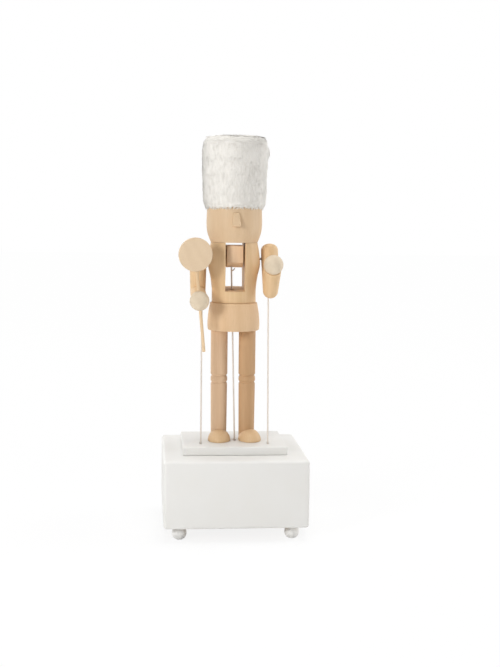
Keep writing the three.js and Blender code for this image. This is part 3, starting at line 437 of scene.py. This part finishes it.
def plush(name):
    """White pile with soft clumps of tone over an even ground."""
    n = Nodes(name, rough=0.92, specular=0.1)
    n.bsdf.inputs["Sheen Weight"].default_value = 0.35
    n.bsdf.inputs["Sheen Roughness"].default_value = 0.5
    depth = n.node("ShaderNodeAttribute", attribute_name="tip").outputs["Fac"]
    clump = n.noise(n.mapped((0.2, 0.4, 0.1)), 130, 3, 0.55)
    tone = n.mix(n.span(clump, 0.35, 0.68, 0, 1), srgb(246, 243, 236), srgb(242, 238, 230))
    n.color(n.mix(n.span(depth, 0.0, 0.6, 0, 1), srgb(244, 241, 235), tone))
    return n.mat


MATERIALS = {
    "torso": wood("wood_torso", srgb(228, 197, 156), srgb(213, 178, 134), 1),
    "skirt": wood("wood_skirt", srgb(225, 193, 156), srgb(209, 173, 133), 2),
    "head": wood("wood_head", srgb(222, 195, 161), srgb(210, 179, 143), 3),
    "right_leg": wood("wood_right_leg", srgb(223, 191, 159), srgb(205, 169, 133), 4, 2.0),
    # The left leg's wood is painted darker than the right leg's, as painted shade.
    "left_leg": wood("wood_left_leg_painted_shade", srgb(200, 162, 123), srgb(184, 145, 104), 5, 2.0),
    "shoe": wood("wood_shoe", srgb(224, 192, 152), srgb(206, 170, 127), 6, 2.2, (math.pi / 2, 0, 0)),
    "jaw": wood("wood_jaw", srgb(237, 208, 174), srgb(225, 192, 157), 7, 2.0),
    "arm": wood("wood_arm", srgb(228, 197, 157), srgb(212, 177, 132), 8, 2.0),
    "forearm": wood("wood_forearm", srgb(228, 197, 157), srgb(212, 177, 132), 9, 2.0),
    "hand": wood("wood_hand", srgb(224, 208, 184), srgb(210, 192, 166), 10, 1.8),
    "disc": wood("wood_disc", srgb(227, 204, 174), srgb(216, 190, 158), 11, 2.2, (0.3, 0, 0)),
    "stick": wood("wood_stick", srgb(232, 206, 170), srgb(214, 180, 138), 12, 1.2),
    "case": paint("paint_case", srgb(231, 230, 227), 1),
    "stage": paint("paint_stage", srgb(231, 230, 227), 2),
    "foot": paint("paint_foot", srgb(233, 232, 230), 3),
    "ply": plywood("plywood"),
    "plush": plush("plush"),
    "wire": metal("steel_wire", srgb(220, 211, 201), srgb(204, 195, 185), 0.5, (1, 1, 0.02), 1, 0.4),
    "steel": metal("steel", srgb(214, 212, 209), srgb(158, 154, 150), 0.36, (0.05, 1, 1), 2),
    "nail": metal("nail_steel", srgb(146, 134, 124), srgb(92, 82, 76), 0.48, (1, 1, 1), 3),
    "brass": metal("brass", srgb(226, 192, 120), srgb(168, 128, 66), 0.32, (0.2, 1, 1), 4),
    "zinc": metal("zinc", srgb(196, 198, 198), srgb(146, 148, 150), 0.46, (1, 0.05, 1), 5),
}
SLOT_LOOKS = {
    "plywood": "ply", "steel": "steel", "dark_steel": "nail", "brass": "brass", "zinc": "zinc",
    "white_paint": "case", "beech": "torso", "pale_wood": "hand", "plush": "plush",
}


def dress(obj, look, body, slot, *nodes):
    """Gives a finished piece its material and its body, and hides the CAD nodes it stands for. The slot is
    not used.
    """
    obj.data.materials.clear()
    obj.data.materials.append(MATERIALS[look])
    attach(obj, body)
    if nodes:
        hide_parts(*nodes)
    return obj


# Hidden and small CAD pieces keep their solids and take their slot's look
for part in frame["record"]["subparts"]:
    shown = frame["nodes"][part["node"]]
    shown.data.materials.clear()
    shown.data.materials.append(MATERIALS[SLOT_LOOKS[part["material_slot"]]])

# Push wires: foot in the lever, tip in the socket
WIRES = {
    "right": ((-25.8, -24.0, 40.0), (-25.8, -27.7, 177.9)),
    "left": ((26.4, -28.0, 40.0), (26.4, -16.9, 183.0)),
    "jaw": ((2.2, -11.0, 40.0), (-2.4, -13.0, 207.3)),
}
WIRE_R, WIRE_FOOT, WIRE_BEND = 0.6, 5, 1.2
SLOT_REACH, SLOT_HALF, SLOT_END = 2.3, 1.1, 1.7  # half of the straight part, half width, round end
SOCKET_DEPTH, SOCKET_TOP_R = 6, 1.6


def wire_at(name, z):
    foot, tip = map(Vector, WIRES[name])
    return foot.lerp(tip, (z - foot.z) / (tip.z - foot.z))


def wire_slots(low, high):
    """Cutting tools for the slots that let the wires through a board."""
    tools = []
    for name in WIRES:
        at = wire_at(name, (low + high) / 2)
        outline = []
        for y, start in ((at.y + SLOT_REACH, 0), (at.y - SLOT_REACH, 180)):
            for k in range(13):
                a = math.radians(start + k * 15)
                outline.append((at.x + SLOT_HALF * math.cos(a), y + SLOT_END * math.sin(a)))
        tools.append(prism("tool", outline, low - 1, high + 1, "z"))
    return tools


def socket_cone(top, mouth, narrow=1.0):
    """A cutting cone that opens downwards, where a wire's tip goes in; narrow squeezes it in X."""
    profile = [(0, -SOCKET_DEPTH), (mouth, -SOCKET_DEPTH), (SOCKET_TOP_R, 0), (0, 0)]
    return lathe("tool", profile, placed(*top) @ Matrix.Diagonal((narrow, 1, 1, 1)), 32)


# Case, stage and feet
def build_case():
    back = FIGURE_Y + CASE_HALF
    inner, roof = CASE_HALF - CASE_WALL, CASE_TOP - CASE_WALL
    low, high = (-CASE_HALF, FIGURE_Y - CASE_HALF, CASE_BOTTOM), (CASE_HALF, back, CASE_TOP)
    case = slab("case_painted", low, high, 2.5, 6)
    hollow = slab("tool", (-inner, FIGURE_Y - inner, CASE_BOTTOM - 1), (inner, FIGURE_Y + inner, roof))
    key_hole = rod_tool((KEY_X, back - CASE_WALL - 1, KEY_Z), (KEY_X, back + 1, KEY_Z), 4.6)
    carve(case, hollow, key_hole, *wire_slots(roof, CASE_TOP))
    dress(smooth(case), "case", "root", "white_paint", "case_shell")


def build_stage():
    low = (-STAGE_HALF_X, FIGURE_Y - STAGE_HALF_Y, STAGE_BASE)
    high = (STAGE_HALF_X, FIGURE_Y + STAGE_HALF_Y, STAGE_TOP)
    stage = slab("stage_painted", low, high, 0.8, 4)
    carve(stage, *wire_slots(STAGE_BASE, STAGE_TOP))
    dress(smooth(stage), "stage", "root", "white_paint", "stage_plate")


def build_feet():
    neck, peg_r, peg_top = (4.5, 9.9), 2, 12.9
    ball = curve([(2.6, 0), (4.5, 1.5), (5.6, 4.8), neck], 8)
    peg = eased([neck, (peg_r, neck[1]), (peg_r, peg_top), (0, peg_top)], 0.2)
    for depth, y in (("front", FIGURE_Y - FOOT_SPREAD), ("back", FIGURE_Y + FOOT_SPREAD)):
        for side, x in (("left", -FOOT_SPREAD), ("right", FOOT_SPREAD)):
            foot = lathe(f"foot_ball_{depth}_{side}", [(0, 0), *ball, *peg[1:]], placed(x, y), 64)
            dress(smooth(foot), "foot", "root", "white_paint", f"foot_{depth}_{side}")


# Legs, shoes, skirt, torso and head
ANKLE_R, LEG_WIDENS = 6.1, 0.5
LEG_GROOVES, GROOVE_HALF, GROOVE_DEPTH = (114.4, 119.6), 1.1, 0.75
SHOE_R, SHOE_SOLE, SHOE_LONG = 8.9, 0.15, 13
SHOE_TOE_OUT, SHOE_OUT, SHOE_ASIDE, SHOE_AHEAD = 4, 0.7, 1.2, -4.5
MOUTH_HALF, NAIL_HOLE = 7.7, 1.1
NOSE_BASE, NOSE_TOP = 236.2, 246.8
NOSE_HALF, NOSE_TAPER = 3.4, 0.8
JAW_HALF, JAW_FRONT, JAW_UNDER, JAW_TOP, JAW_HUB_R = 6.4, -20, 204.6, 221.8, 5


def leg_radius(z):
    return ANKLE_R + LEG_WIDENS * (z - LEG_BASE) / (LEG_TOP - LEG_BASE)


def build_shoe(name, side):
    angles = [k * math.pi / 40 for k in range(1, 20)]
    dome = [(SHOE_R * math.cos(a), SHOE_SOLE + (SHOE_R - SHOE_SOLE) * math.sin(a)) for a in angles]
    profile = eased([(0, 0), (8.7, 0), *dome, (0, SHOE_R)], 0.25)
    shoe = lathe(f"{name}_shoe_carved", profile, None, 72)
    shoe.data.transform(Matrix.Diagonal((1, SHOE_LONG / SHOE_R, 1, 1)))
    toe_out = Matrix.Rotation(math.radians(side * SHOE_TOE_OUT), 4, "Z")
    set_forward = placed(side * SHOE_OUT + SHOE_ASIDE, SHOE_AHEAD)
    shoe.matrix_world = placed(side * LEG_X, FIGURE_Y, LEG_BASE) @ toe_out @ set_forward
    carve(shoe, rod_tool((side * LEG_X, FIGURE_Y, 60), (side * LEG_X, FIGURE_Y, 90), 6.4))
    dress(smooth(shoe), "shoe", "root", "beech", f"{name}_shoe")


def build_legs():
    line = [(leg_radius(LEG_BASE), LEG_BASE)]
    for groove in LEG_GROOVES:
        r = leg_radius(groove)
        line += [(r + 0.1, groove - GROOVE_HALF), (r - GROOVE_DEPTH, groove), (r + 0.2, groove + GROOVE_HALF)]
    line += [(leg_radius(LEG_TOP), LEG_TOP), (LEG_PEG_R, LEG_TOP), (LEG_PEG_R, LEG_PEG_TOP)]
    profile = [(0, LEG_BASE), *eased(line, 0.55), (0, LEG_PEG_TOP)]
    for name, side in (("right", -1), ("left", 1)):
        leg = lathe(f"{name}_leg_turned", profile, placed(side * LEG_X))
        dress(smooth(leg), f"{name}_leg", "root", "beech", f"{name}_leg")
        build_shoe(name, side)


def jaw_wire_bore():
    return rod_tool(wire_at("jaw", 153), wire_at("jaw", 189.2), 2.2)


def build_skirt():
    side = curve([(20.2, 156.6), (20.4, 161.0), (19.8, 168.9), (18.4, 176.9)], 8)
    hem = eased([(10, SKIRT_BASE), (19.9, SKIRT_BASE), side[0]], 0.8)
    profile = [(0, SKIRT_BASE), *hem[1:], *side[1:], (18.1, SKIRT_TOP), (0, SKIRT_TOP)]
    skirt = lathe("coat_skirt_turned", profile, placed())
    tools = [
        rod_tool((s * LEG_X, FIGURE_Y, 150), (s * LEG_X, FIGURE_Y, LEG_PEG_TOP + 0.3), LEG_PEG_R + 0.2)
        for s in (-1, 1)
    ]
    carve(skirt, jaw_wire_bore(), *tools)
    dress(smooth(skirt), "skirt", "root", "beech", "coat_skirt")


def build_torso():
    chest = curve([(WAIST_R, CHEST), (18.25, 196.35), (20.25, 206.2), (19.75, 214.65), (NECK_R, NECK)], 10)
    waist = eased([(0, TORSO_BASE), (WAIST_R, TORSO_BASE), (WAIST_R, CHEST)], 0.5)
    neck = eased([chest[-2], (NECK_R, NECK), (0, NECK)], 0.4)
    torso = lathe("torso_turned", [*waist, *chest[1:-1], *neck[1:]], placed())
    mouth = [(-30, 185.9), (14, 189.0), (14, 226), (-30, 226)]  # its floor slopes down to the front
    tools = [
        prism("tool", mouth, -MOUTH_HALF, MOUTH_HALF, "x"),
        rod_tool((-22, 0, JAW_PIN), (22, 0, JAW_PIN), JAW_PIN_HOLE),
        rod_tool((-22, FIGURE_Y, SHOULDER), (22, FIGURE_Y, SHOULDER), NAIL_HOLE),
        jaw_wire_bore(),
    ]
    carve(torso, *tools, edge=0.25)
    dress(smooth(torso), "torso", "root", "beech", "torso")


def build_head():
    cheeks = [(20.35, 229.4), (21.35, 233.9), (HEAD_R, 239.9)]
    side = curve([(NECK_R, HEAD_BASE), *cheeks, (21.25, HEAD_TOP)], 10)
    peg_r, peg_top = 17, HEAD_TOP + 49.5
    top = eased([side[-2], side[-1], (peg_r, HEAD_TOP), (peg_r, peg_top), (0, peg_top)], 0.4)
    head = lathe("head_turned", [(0, HEAD_BASE), *side[:-1], *top[1:]], placed())
    dress(smooth(head), "head", "root", "beech", "head")


def build_nose():
    face = FIGURE_Y - HEAD_R
    outline = [(face + 3, NOSE_BASE), (face + 3, NOSE_TOP), (face - 0.6, NOSE_TOP)]
    outline += [(face - 4.4, NOSE_BASE + 1.6), (face - 3.4, NOSE_BASE)]
    nose = prism("nose_wedge", outline, -1, 1, "x")
    for vert in nose.data.vertices:
        vert.co.x *= NOSE_HALF - NOSE_TAPER * (vert.co.z / MM - NOSE_BASE) / (NOSE_TOP - NOSE_BASE)
    bevel_edges(nose, 1.15, 5)
    dress(smooth(nose), "head", "root", "beech", "nose")


def build_jaw():
    heel = [math.radians(-45 + 10.5 * k) for k in range(11)]
    outline = [(JAW_FRONT, 208.6), (-13.5, JAW_UNDER), (-6, JAW_UNDER), (3.5, 210.6)]
    outline += [(JAW_HUB_R * math.cos(a), JAW_PIN + JAW_HUB_R * math.sin(a)) for a in heel]
    outline += [(-2, JAW_TOP), (JAW_FRONT, JAW_TOP)]
    jaw = prism("jaw_block", outline, -JAW_HALF, JAW_HALF, "x", 0.45, 3)
    socket = socket_cone(wire_at("jaw", 207.8), 3.6)
    carve(jaw, socket, rod_tool((-8, 0, JAW_PIN), (8, 0, JAW_PIN), JAW_PIN_HOLE))
    dress(smooth(jaw), "jaw", "jaw", "beech", "jaw")


# Arms
UPPER_ARM_L, FOREARM_L = 26, 29  # shoulder to elbow, elbow to the middle of the fist
SHOULDER_R, ELBOW_R, WRIST_R = 6.7, 5.9, 6.4
SHOULDER_TOP, SHOULDER_ROUND = 11.8, 5
FIST_R, FIST_FLAT = 7.5, 5.2  # the fist is flat where it meets the forearm
FIT = 0.02  # gap between a forearm and its neighbours
NAIL_R, NAIL_L, NAIL_X = 0.9, 26.2, 34.2
STICK_R, STICK_UP, STICK_DOWN = 1.2, 35.2, 39.0
DISC_R, DISC_HALF = 12.85, 2.3
ARM_SEG = 72


def arm_frames(side, swing, fore):
    upper = placed(side * ARM_X, FIGURE_Y, SHOULDER) @ turn_x(-swing)
    return upper, upper @ placed(0, 0, -UPPER_ARM_L) @ turn_x(swing + 90 - fore)


RIGHT_ARM = arm_frames(-1, 0, -10)
LEFT_ARM = arm_frames(1, 20, 46.7)
FIST = RIGHT_ARM[1] @ Vector((0, 0, FOREARM_L * MM)) / MM
LEAN = math.radians(5.3)
STICK_WAY = Vector((-math.sin(LEAN), 0, math.cos(LEAN)))
DISC_AT = FIST + STICK_WAY * STICK_UP


def quarter(r, z, radius, start, end, count=10):
    """Points on a circle about a (radius, height) place, between two angles in degrees."""
    angles = [math.radians(start + (end - start) * k / count) for k in range(count + 1)]
    return [(max(r + radius * math.cos(a), 0.0), z + radius * math.sin(a)) for a in angles]


def forearm_profile(spare):
    end = FOREARM_L - FIST_FLAT - FIT + spare
    elbow, wrist = ELBOW_R + spare, WRIST_R + spare
    return [*quarter(0, 0, elbow, -90, 0), *eased([(elbow, 0.1), (wrist, end), (0, end)], 0.4)]


def stick_tool():
    return rod_tool(FIST - STICK_WAY * (STICK_DOWN + 3), DISC_AT - STICK_WAY * 6.1, STICK_R + 0.2, 24)


def arm_socket(name):
    x, y, z = WIRES[name][1]
    return socket_cone((x, y, z + 0.5), 3.2, 0.5)


def build_arm(name, side, frames):
    upper, fore = frames
    body = f"{name}_arm"

    def shoulder_rod(inner, outer, radius, seg):
        return rod_tool((side * inner, FIGURE_Y, SHOULDER), (side * outer, FIGURE_Y, SHOULDER), radius, seg)

    elbow = quarter(0, -UPPER_ARM_L, ELBOW_R, -90, 0)
    dome = quarter(SHOULDER_R - SHOULDER_ROUND, SHOULDER_TOP - SHOULDER_ROUND, SHOULDER_ROUND, 0, 90)
    profile = [*elbow, (SHOULDER_R, 0), *dome, (0, SHOULDER_TOP)]
    arm = lathe(f"{name}_upper_arm_turned", profile, upper, ARM_SEG)
    spot, hole = shoulder_rod(33.9, 36, 2.5, 32), shoulder_rod(8, 36, NAIL_HOLE, 24)
    carve(arm, lathe("tool", forearm_profile(FIT), fore, ARM_SEG), spot, hole, arm_socket(name))
    dress(smooth(arm), "arm", body, "beech", f"{name}_upper_arm")

    forearm = lathe(f"{name}_forearm_turned", forearm_profile(0), fore, ARM_SEG)
    carve(forearm, arm_socket(name))
    dress(smooth(forearm), "forearm", body, "beech", f"{name}_forearm")

    flat = math.degrees(math.asin(-FIST_FLAT / FIST_R))
    ball = quarter(0, FOREARM_L, FIST_R, flat, 90, 24)
    wrist = eased([(0, FOREARM_L - FIST_FLAT), ball[0], ball[1]], 0.4)
    hand = lathe(f"{name}_hand_ball", [*wrist[:-1], *ball[1:]], fore, ARM_SEG)
    if name == "right":
        carve(hand, stick_tool())
    dress(smooth(hand), "hand", body, "pale_wood", f"{name}_hand")

    shank = [(0, -NAIL_L), (NAIL_R, -NAIL_L), (NAIL_R, 0.0)]
    nail_head = curve([(2.0, 0.0), (2.2, 0.3), (1.6, 0.7), (0, 0.85)], 5)
    at = placed(side * NAIL_X, FIGURE_Y, SHOULDER) @ Matrix.Rotation(math.radians(90 * side), 4, "Y")
    nail = lathe(f"{name}_shoulder_nail_domed", [*shank, *nail_head], at, 32)
    dress(smooth(nail), "nail", "root", "dark_steel", f"{name}_shoulder_nail")


def build_stick():
    turn = STICK_WAY.to_track_quat("Z", "Y").to_matrix().to_4x4()
    end = STICK_UP - DISC_R / 2
    profile = eased([(0, -STICK_DOWN), (STICK_R, -STICK_DOWN), (STICK_R, end), (0, end)], 0.5)
    stick = lathe("stick_turned", profile, Matrix.Translation(FIST * MM) @ turn, 32)
    dress(smooth(stick), "stick", "right_arm", "pale_wood", "stick")
    rim = eased([(0, -DISC_HALF), (DISC_R, -DISC_HALF), (DISC_R, DISC_HALF), (0, DISC_HALF)], 0.8, 6)
    disc = lathe("disc_turned", rim, Matrix.Translation(DISC_AT * MM) @ turn_x(90), 128)
    carve(disc, stick_tool())
    dress(smooth(disc), "disc", "right_arm", "pale_wood", "disc")


def build_wires():
    for name, node in (("right", "right_arm_wire"), ("left", "left_arm_wire"), ("jaw", "jaw_wire")):
        foot, tip = map(Vector, WIRES[name])
        out = Vector((1 if name == "left" else -1, 0, 0))
        up = (tip - foot).normalized()
        path = [foot + out * WIRE_FOOT]
        path += [foot + (out * (1 - t) + up * t) * WIRE_BEND for t in (0.0, 0.3, 0.5, 0.7, 1.0)]
        path += [foot.lerp(tip, t) for t in (0.1, 0.3, 0.5, 0.7, 0.9)]
        path.append(tip - up * 0.4)
        dress(tube(f"{node}_drawn", path, WIRE_R), "wire", f"{name}_wire", "steel", node)
    at = wire_at("jaw", 202.0)
    bends = ((0, 0, 0), (0.8, -0.3, 0.1), (1.5, -0.4, 0.5), (2.1, -0.4, 1.1), (2.5, -0.4, 1.8))
    bent_end = tube("jaw_wire_bent_end", [at + Vector(bend) for bend in bends], 0.45)
    dress(bent_end, "wire", "jaw_wire", "steel")


# Plush hat: a soft shell under short combed pile
HAT_TOP, HAT_PEG_R, HAT_PEG_TOP, HAT_HEM = 305.7, 17.3, 302.0, 252.1
HAT_LINE = curve(
    [(22.4, 251.3), (24.1, 257.0), (24.9, 280.0), (25.1, 296.0), (24.7, 301.4), (22.3, 304.6)], 10,
)
HAT_LINE += [(17.0, 305.4), (10.0, 305.6), (5.0, HAT_TOP), (0.01, HAT_TOP)]
HAT_REACH = [0.0]  # length along the line up to each of its points
for low, high in zip(HAT_LINE, HAT_LINE[1:]):
    HAT_REACH.append(HAT_REACH[-1] + (Vector(high) - Vector(low)).length)
HAT_MEAN_R = 24
TUFT_ANGLE, TUFT_Z, TUFT_OUT = math.radians(8), 293.0, 2.3  # a thicker tuft, at an angle from +X
DENT_Z, DENT_IN = 301, 2.2
WORN_Z, WORN_IN = 294, 1.6
PILE_STEP, TUFT_STRANDS, LOOSE_SHARE = 1.7, 6, 0.05


def hat_place(s):
    """Place and direction on the hat's line after a length s."""
    k = 0
    while k < len(HAT_LINE) - 2 and s > HAT_REACH[k + 1]:
        k += 1
    start, end = Vector(HAT_LINE[k]), Vector(HAT_LINE[k + 1])
    share = (s - HAT_REACH[k]) / (HAT_REACH[k + 1] - HAT_REACH[k])
    return start.lerp(end, share), (end - start).normalized()


def hat_swell(p):
    """How far the pile's ground stands out: soft lumps, a worn corner, a tuft with a dent above it."""
    a = math.atan2(p.y, p.x)
    beside = math.remainder(a - TUFT_ANGLE, 2 * math.pi) * HAT_MEAN_R
    tuft = TUFT_OUT * math.exp(-(beside**2 + (p.z - TUFT_Z) ** 2) / 16)
    dent = DENT_IN * math.exp(-((beside / 8) ** 2) - ((p.z - DENT_Z) / 2.5) ** 2)
    worn = WORN_IN * max(0.0, -math.cos(a)) ** 2 * min(max((p.z - WORN_Z) / 10, 0.0), 1.0)
    return 0.6 * noise.noise(p * 0.16) + tuft - dent - worn


class Pile:
    """Vertices, faces, normals and tip shares of the hat's mesh."""

    def __init__(self, shell):
        self.verts = [v.co / MM for v in shell.vertices]
        self.normals = [v.normal.copy() for v in shell.vertices]
        self.faces = [tuple(p.vertices) for p in shell.polygons]
        self.tips = [0.0] * len(self.verts)

    def strand(self, base, way, droop, length, width, ground, own):
        """A three-sided tapered strand, shaded as the ground it grows on with a share of its own sides."""
        side = way.orthogonal().normalized()
        across = way.cross(side)
        first = len(self.verts)
        mid = base + way * length * 0.55
        for at, r, share in ((base, width, 0.15), (mid, width * 0.75, 0.6)):
            for k in range(3):
                a = 2 * math.pi * k / 3
                rim = side * math.cos(a) + across * math.sin(a)
                self.verts.append(at + rim * r)
                self.normals.append((ground + rim * own).normalized())
                self.tips.append(share)
        self.verts.append(mid + (way + droop).normalized() * length * 0.45)
        self.normals.append(ground)
        self.tips.append(1.0)
        for k in range(3):
            n = (k + 1) % 3
            self.faces.append((first + k, first + n, first + 3 + n, first + 3 + k))
            self.faces.append((first + 3 + k, first + 3 + n, first + 6))


def grow_tuft(pile, rng, s, a):
    """A few strands that lean down the hat to one goal, and now and then a loose hair."""
    at, along = hat_place(s)
    up = Vector((0, 0, 1))
    out = Vector((math.cos(a), math.sin(a), 0))
    around = up.cross(out)
    climb = out * along.x + up * along.y
    normal = out * along.y - up * along.x
    shade = (normal + out * 0.6).normalized()
    own = 0.5 * max(normal.z, 0.0)
    base = out * at.x + up * at.y
    base += out * hat_swell(base)
    swirl = noise.noise(base * 0.09)
    lean = 4.5 + noise.noise(base * 0.13 + Vector((9, 0, 0)))
    goal = base + (normal - climb * lean + around * swirl).normalized() * rng.uniform(1.6, 2.3)
    for _ in range(TUFT_STRANDS):
        root = base + around * rng.uniform(-1, 1) + climb * rng.uniform(-1, 1)
        to_goal = goal - base + Vector([rng.uniform(-0.2, 0.2) for _ in range(3)])
        length = to_goal.length * rng.uniform(0.8, 1.05)
        width = rng.uniform(0.2, 0.3)
        pile.strand(root - normal * 0.1, to_goal.normalized(), climb * -0.4, length, width, shade, own)
    if rng.random() < LOOSE_SHARE:
        loose = (goal - base + normal * rng.uniform(0.8, 2.0)).normalized()
        pile.strand(base, loose, climb * -0.6, rng.uniform(1.8, 2.9), 0.08, shade, 0.6)


def build_hat():
    rng = random.Random(11)
    inside = [(0, HAT_TOP), (0, HAT_PEG_TOP), (HAT_PEG_R, HAT_PEG_TOP), (HAT_PEG_R, HAT_HEM)]
    hat = lathe("hat_plush", [(HAT_PEG_R, HAT_HEM), (21.2, HAT_HEM), *HAT_LINE[:-1], *inside], placed(), 96)
    pile = Pile(hat.data)
    for v in pile.verts:
        out = Vector((v.x, v.y, 0))
        if out.length > HAT_PEG_R + 0.2 or v.z > HAT_PEG_TOP + 1:
            v += out.normalized() * hat_swell(v)
    for row in range(int(HAT_REACH[-1] / PILE_STEP) + 1):
        count = max(3, int(2 * math.pi * hat_place(row * PILE_STEP)[0].x / PILE_STEP))
        for i in range(count):
            s = min(max((row + rng.uniform(-0.5, 0.5)) * PILE_STEP, 0.0), HAT_REACH[-1])
            grow_tuft(pile, rng, s, 2 * math.pi * (i + rng.uniform(-0.4, 0.4)) / count)
    mesh = bpy.data.meshes.new("hat_plush")
    mesh.from_pydata([v * MM for v in pile.verts], [], pile.faces)
    mesh.attributes.new("tip", "FLOAT", "POINT").data.foreach_set("value", pile.tips)
    mesh.shade_smooth()
    mesh.normals_split_custom_set_from_vertices(pile.normals)
    hat.data = mesh
    dress(hat, "plush", "root", "plush", "hat")


# Winding key at the back
KEY_MIDDLE = 57.3  # middle of the wings in Y
KEY_HALF, KEY_HUB_R = 1.3, 3.6
WING_X, WING_R, WING_SWEEP = 8.08, 5.6, 234


def wing_edge(side, start):
    angles = [math.radians(start + WING_SWEEP * k / 24) for k in range(25)]
    x = KEY_X + side * WING_X
    return [(x + WING_R * math.cos(a), KEY_MIDDLE + WING_R * math.sin(a)) for a in angles]


def build_key():
    outline = [(KEY_X - KEY_HUB_R, KEY_MIDDLE - WING_R), (KEY_X + KEY_HUB_R, KEY_MIDDLE - WING_R)]
    outline += [*wing_edge(1, -108), (KEY_X, KEY_MIDDLE + 1.7), *wing_edge(-1, 54)]
    key = prism("winding_key_wings", outline, KEY_Z - KEY_HALF, KEY_Z + KEY_HALF, "z", 0.7, 3)
    hole_places = [KEY_X + s * 8.6 for s in (-1, 1)]
    carve(key, *[rod_tool((x, KEY_MIDDLE, 20), (x, KEY_MIDDLE, 38), 2.2) for x in hole_places])
    dress(smooth(key), "brass", "winder", "brass", "winding_key")
    line = [(2.2, 43.5), (KEY_HUB_R, 43.5), (KEY_HUB_R, 49.5), (3.0, 50.2), (3.0, 52.4), (KEY_HUB_R, 53.0)]
    line += [(KEY_HUB_R, KEY_MIDDLE), (0, KEY_MIDDLE)]
    hub = lathe("winding_key_hub", eased(line, 0.35), placed(KEY_X, 0, KEY_Z) @ turn_x(-90), 48)
    dress(smooth(hub), "brass", "winder", "brass")


build_case()
build_stage()
build_feet()
build_legs()
build_skirt()
build_torso()
build_head()
build_nose()
build_jaw()
build_arm("right", -1, RIGHT_ARM)
build_arm("left", 1, LEFT_ARM)
build_stick()
build_wires()
build_hat()
build_key()

# Floor, world, lights and camera
LAMPS = (  # name, place and size in metres, power in watts
    ("key", (-0.75, -0.85, 0.5), 0.3, 6.7),
    ("fill", (0.9, -0.7, 0.5), 0.9, 1.0),
    ("rim_left", (-0.8, 1.1, 0.55), 0.9, 3.4),
    ("rim_right", (1.2, 0.2, 0.45), 0.9, 7.0),
    ("top", (0.1, 0.1, 2.2), 1.4, 29.0),
)
LAMPS_AIM = Vector((0, 0, 0.17))  # in metres
AMBIENT = 0.2
SENSOR, PHOTO_H, FOCAL_PX = 36.0, 667, 1200  # mm, and the photograph's pixels
CAMERA_PLACE = (-0.0701, -0.9430, 0.2486)  # in metres
CAMERA_TURN = (5.85, -5.09, 0.63)  # pitch down, yaw and roll in degrees


def lay_floor():
    """A pale floor that shows as white to the camera and in reflections, and keeps the object's shadow."""
    floor = slab("floor", (-3000, -3000, -20), (3000, 6000, 0), 2)
    look = Nodes("floor_white", rough=0.9)
    tone = look.noise(look.mapped(), 3.0, 2, 0.5)
    look.color(look.ramp(tone, (0.3, (0.9, 0.9, 0.9)), (0.7, (0.92, 0.92, 0.92))))
    path = look.node("ShaderNodeLightPath")
    seen = look.math("MAXIMUM", path.outputs["Is Camera Ray"], path.outputs["Is Glossy Ray"])
    seen = look.math("MAXIMUM", seen, path.outputs["Is Transmission Ray"])
    glow = look.node("ShaderNodeEmission", Strength=1.0)
    blend = look.node("ShaderNodeMixShader")
    far = look.node("ShaderNodeVectorMath", operation="LENGTH")
    look.link(look.coords, far.inputs[0])
    share = look.span(far.outputs["Value"], 0.08, 0.4, 0.86, 0.99)
    look.link(look.math("MULTIPLY", seen, share), blend.inputs["Fac"])
    look.link(look.bsdf.outputs["BSDF"], blend.inputs[1])
    look.link(glow.outputs["Emission"], blend.inputs[2])
    look.link(blend.outputs["Shader"], look.tree.nodes["Material Output"].inputs["Surface"])
    floor.data.materials.append(look.mat)


def make_world(scene):
    """A weak even light that shows as white to the camera and in reflections."""
    world = bpy.data.worlds.new("studio")
    scene.world = world
    world.use_nodes = True
    nodes, links = world.node_tree.nodes, world.node_tree.links
    ambient = nodes["Background"]
    ambient.inputs["Color"].default_value = (1, 0.99, 0.975, 1)
    ambient.inputs["Strength"].default_value = AMBIENT
    white = nodes.new("ShaderNodeBackground")
    white.inputs["Color"].default_value = (1, 1, 1, 1)
    ray = nodes.new("ShaderNodeLightPath")
    either = nodes.new("ShaderNodeMath")
    either.operation = "MAXIMUM"
    either.use_clamp = True
    links.new(ray.outputs["Is Camera Ray"], either.inputs[0])
    links.new(ray.outputs["Is Glossy Ray"], either.inputs[1])
    chosen = nodes.new("ShaderNodeMixShader")
    links.new(either.outputs[0], chosen.inputs["Fac"])
    links.new(ambient.outputs["Background"], chosen.inputs[1])
    links.new(white.outputs["Background"], chosen.inputs[2])
    links.new(chosen.outputs["Shader"], nodes["World Output"].inputs["Surface"])


def hang_lamps(scene):
    for name, place, size, power in LAMPS:
        data = bpy.data.lights.new(name, "AREA")
        data.size = size
        data.energy = power
        lamp = bpy.data.objects.new(name, data)
        lamp.location = place
        lamp.rotation_euler = (LAMPS_AIM - Vector(place)).to_track_quat("-Z", "Y").to_euler()
        scene.collection.objects.link(lamp)


def set_camera(scene):
    data = bpy.data.cameras.new("camera")
    data.sensor_width = SENSOR
    data.lens = FOCAL_PX / PHOTO_H * SENSOR
    data.clip_start, data.clip_end = 0.02, 30
    camera = bpy.data.objects.new("camera", data)
    pitch, yaw, roll = (math.radians(a) for a in CAMERA_TURN)
    ahead = Vector((-math.sin(yaw) * math.cos(pitch), math.cos(yaw) * math.cos(pitch), -math.sin(pitch)))
    level = Vector((math.cos(yaw), math.sin(yaw), 0))
    upright = level.cross(ahead)
    right = level * math.cos(roll) + upright * math.sin(roll)
    up = upright * math.cos(roll) - level * math.sin(roll)
    turn = Matrix((right, up, -ahead)).transposed().to_4x4()
    camera.matrix_world = Matrix.Translation(CAMERA_PLACE) @ turn
    scene.collection.objects.link(camera)
    scene.camera = camera


def studio():
    scene = bpy.context.scene
    scene.view_settings.view_transform = "Standard"
    lay_floor()
    make_world(scene)
    hang_lamps(scene)
    set_camera(scene)


studio()
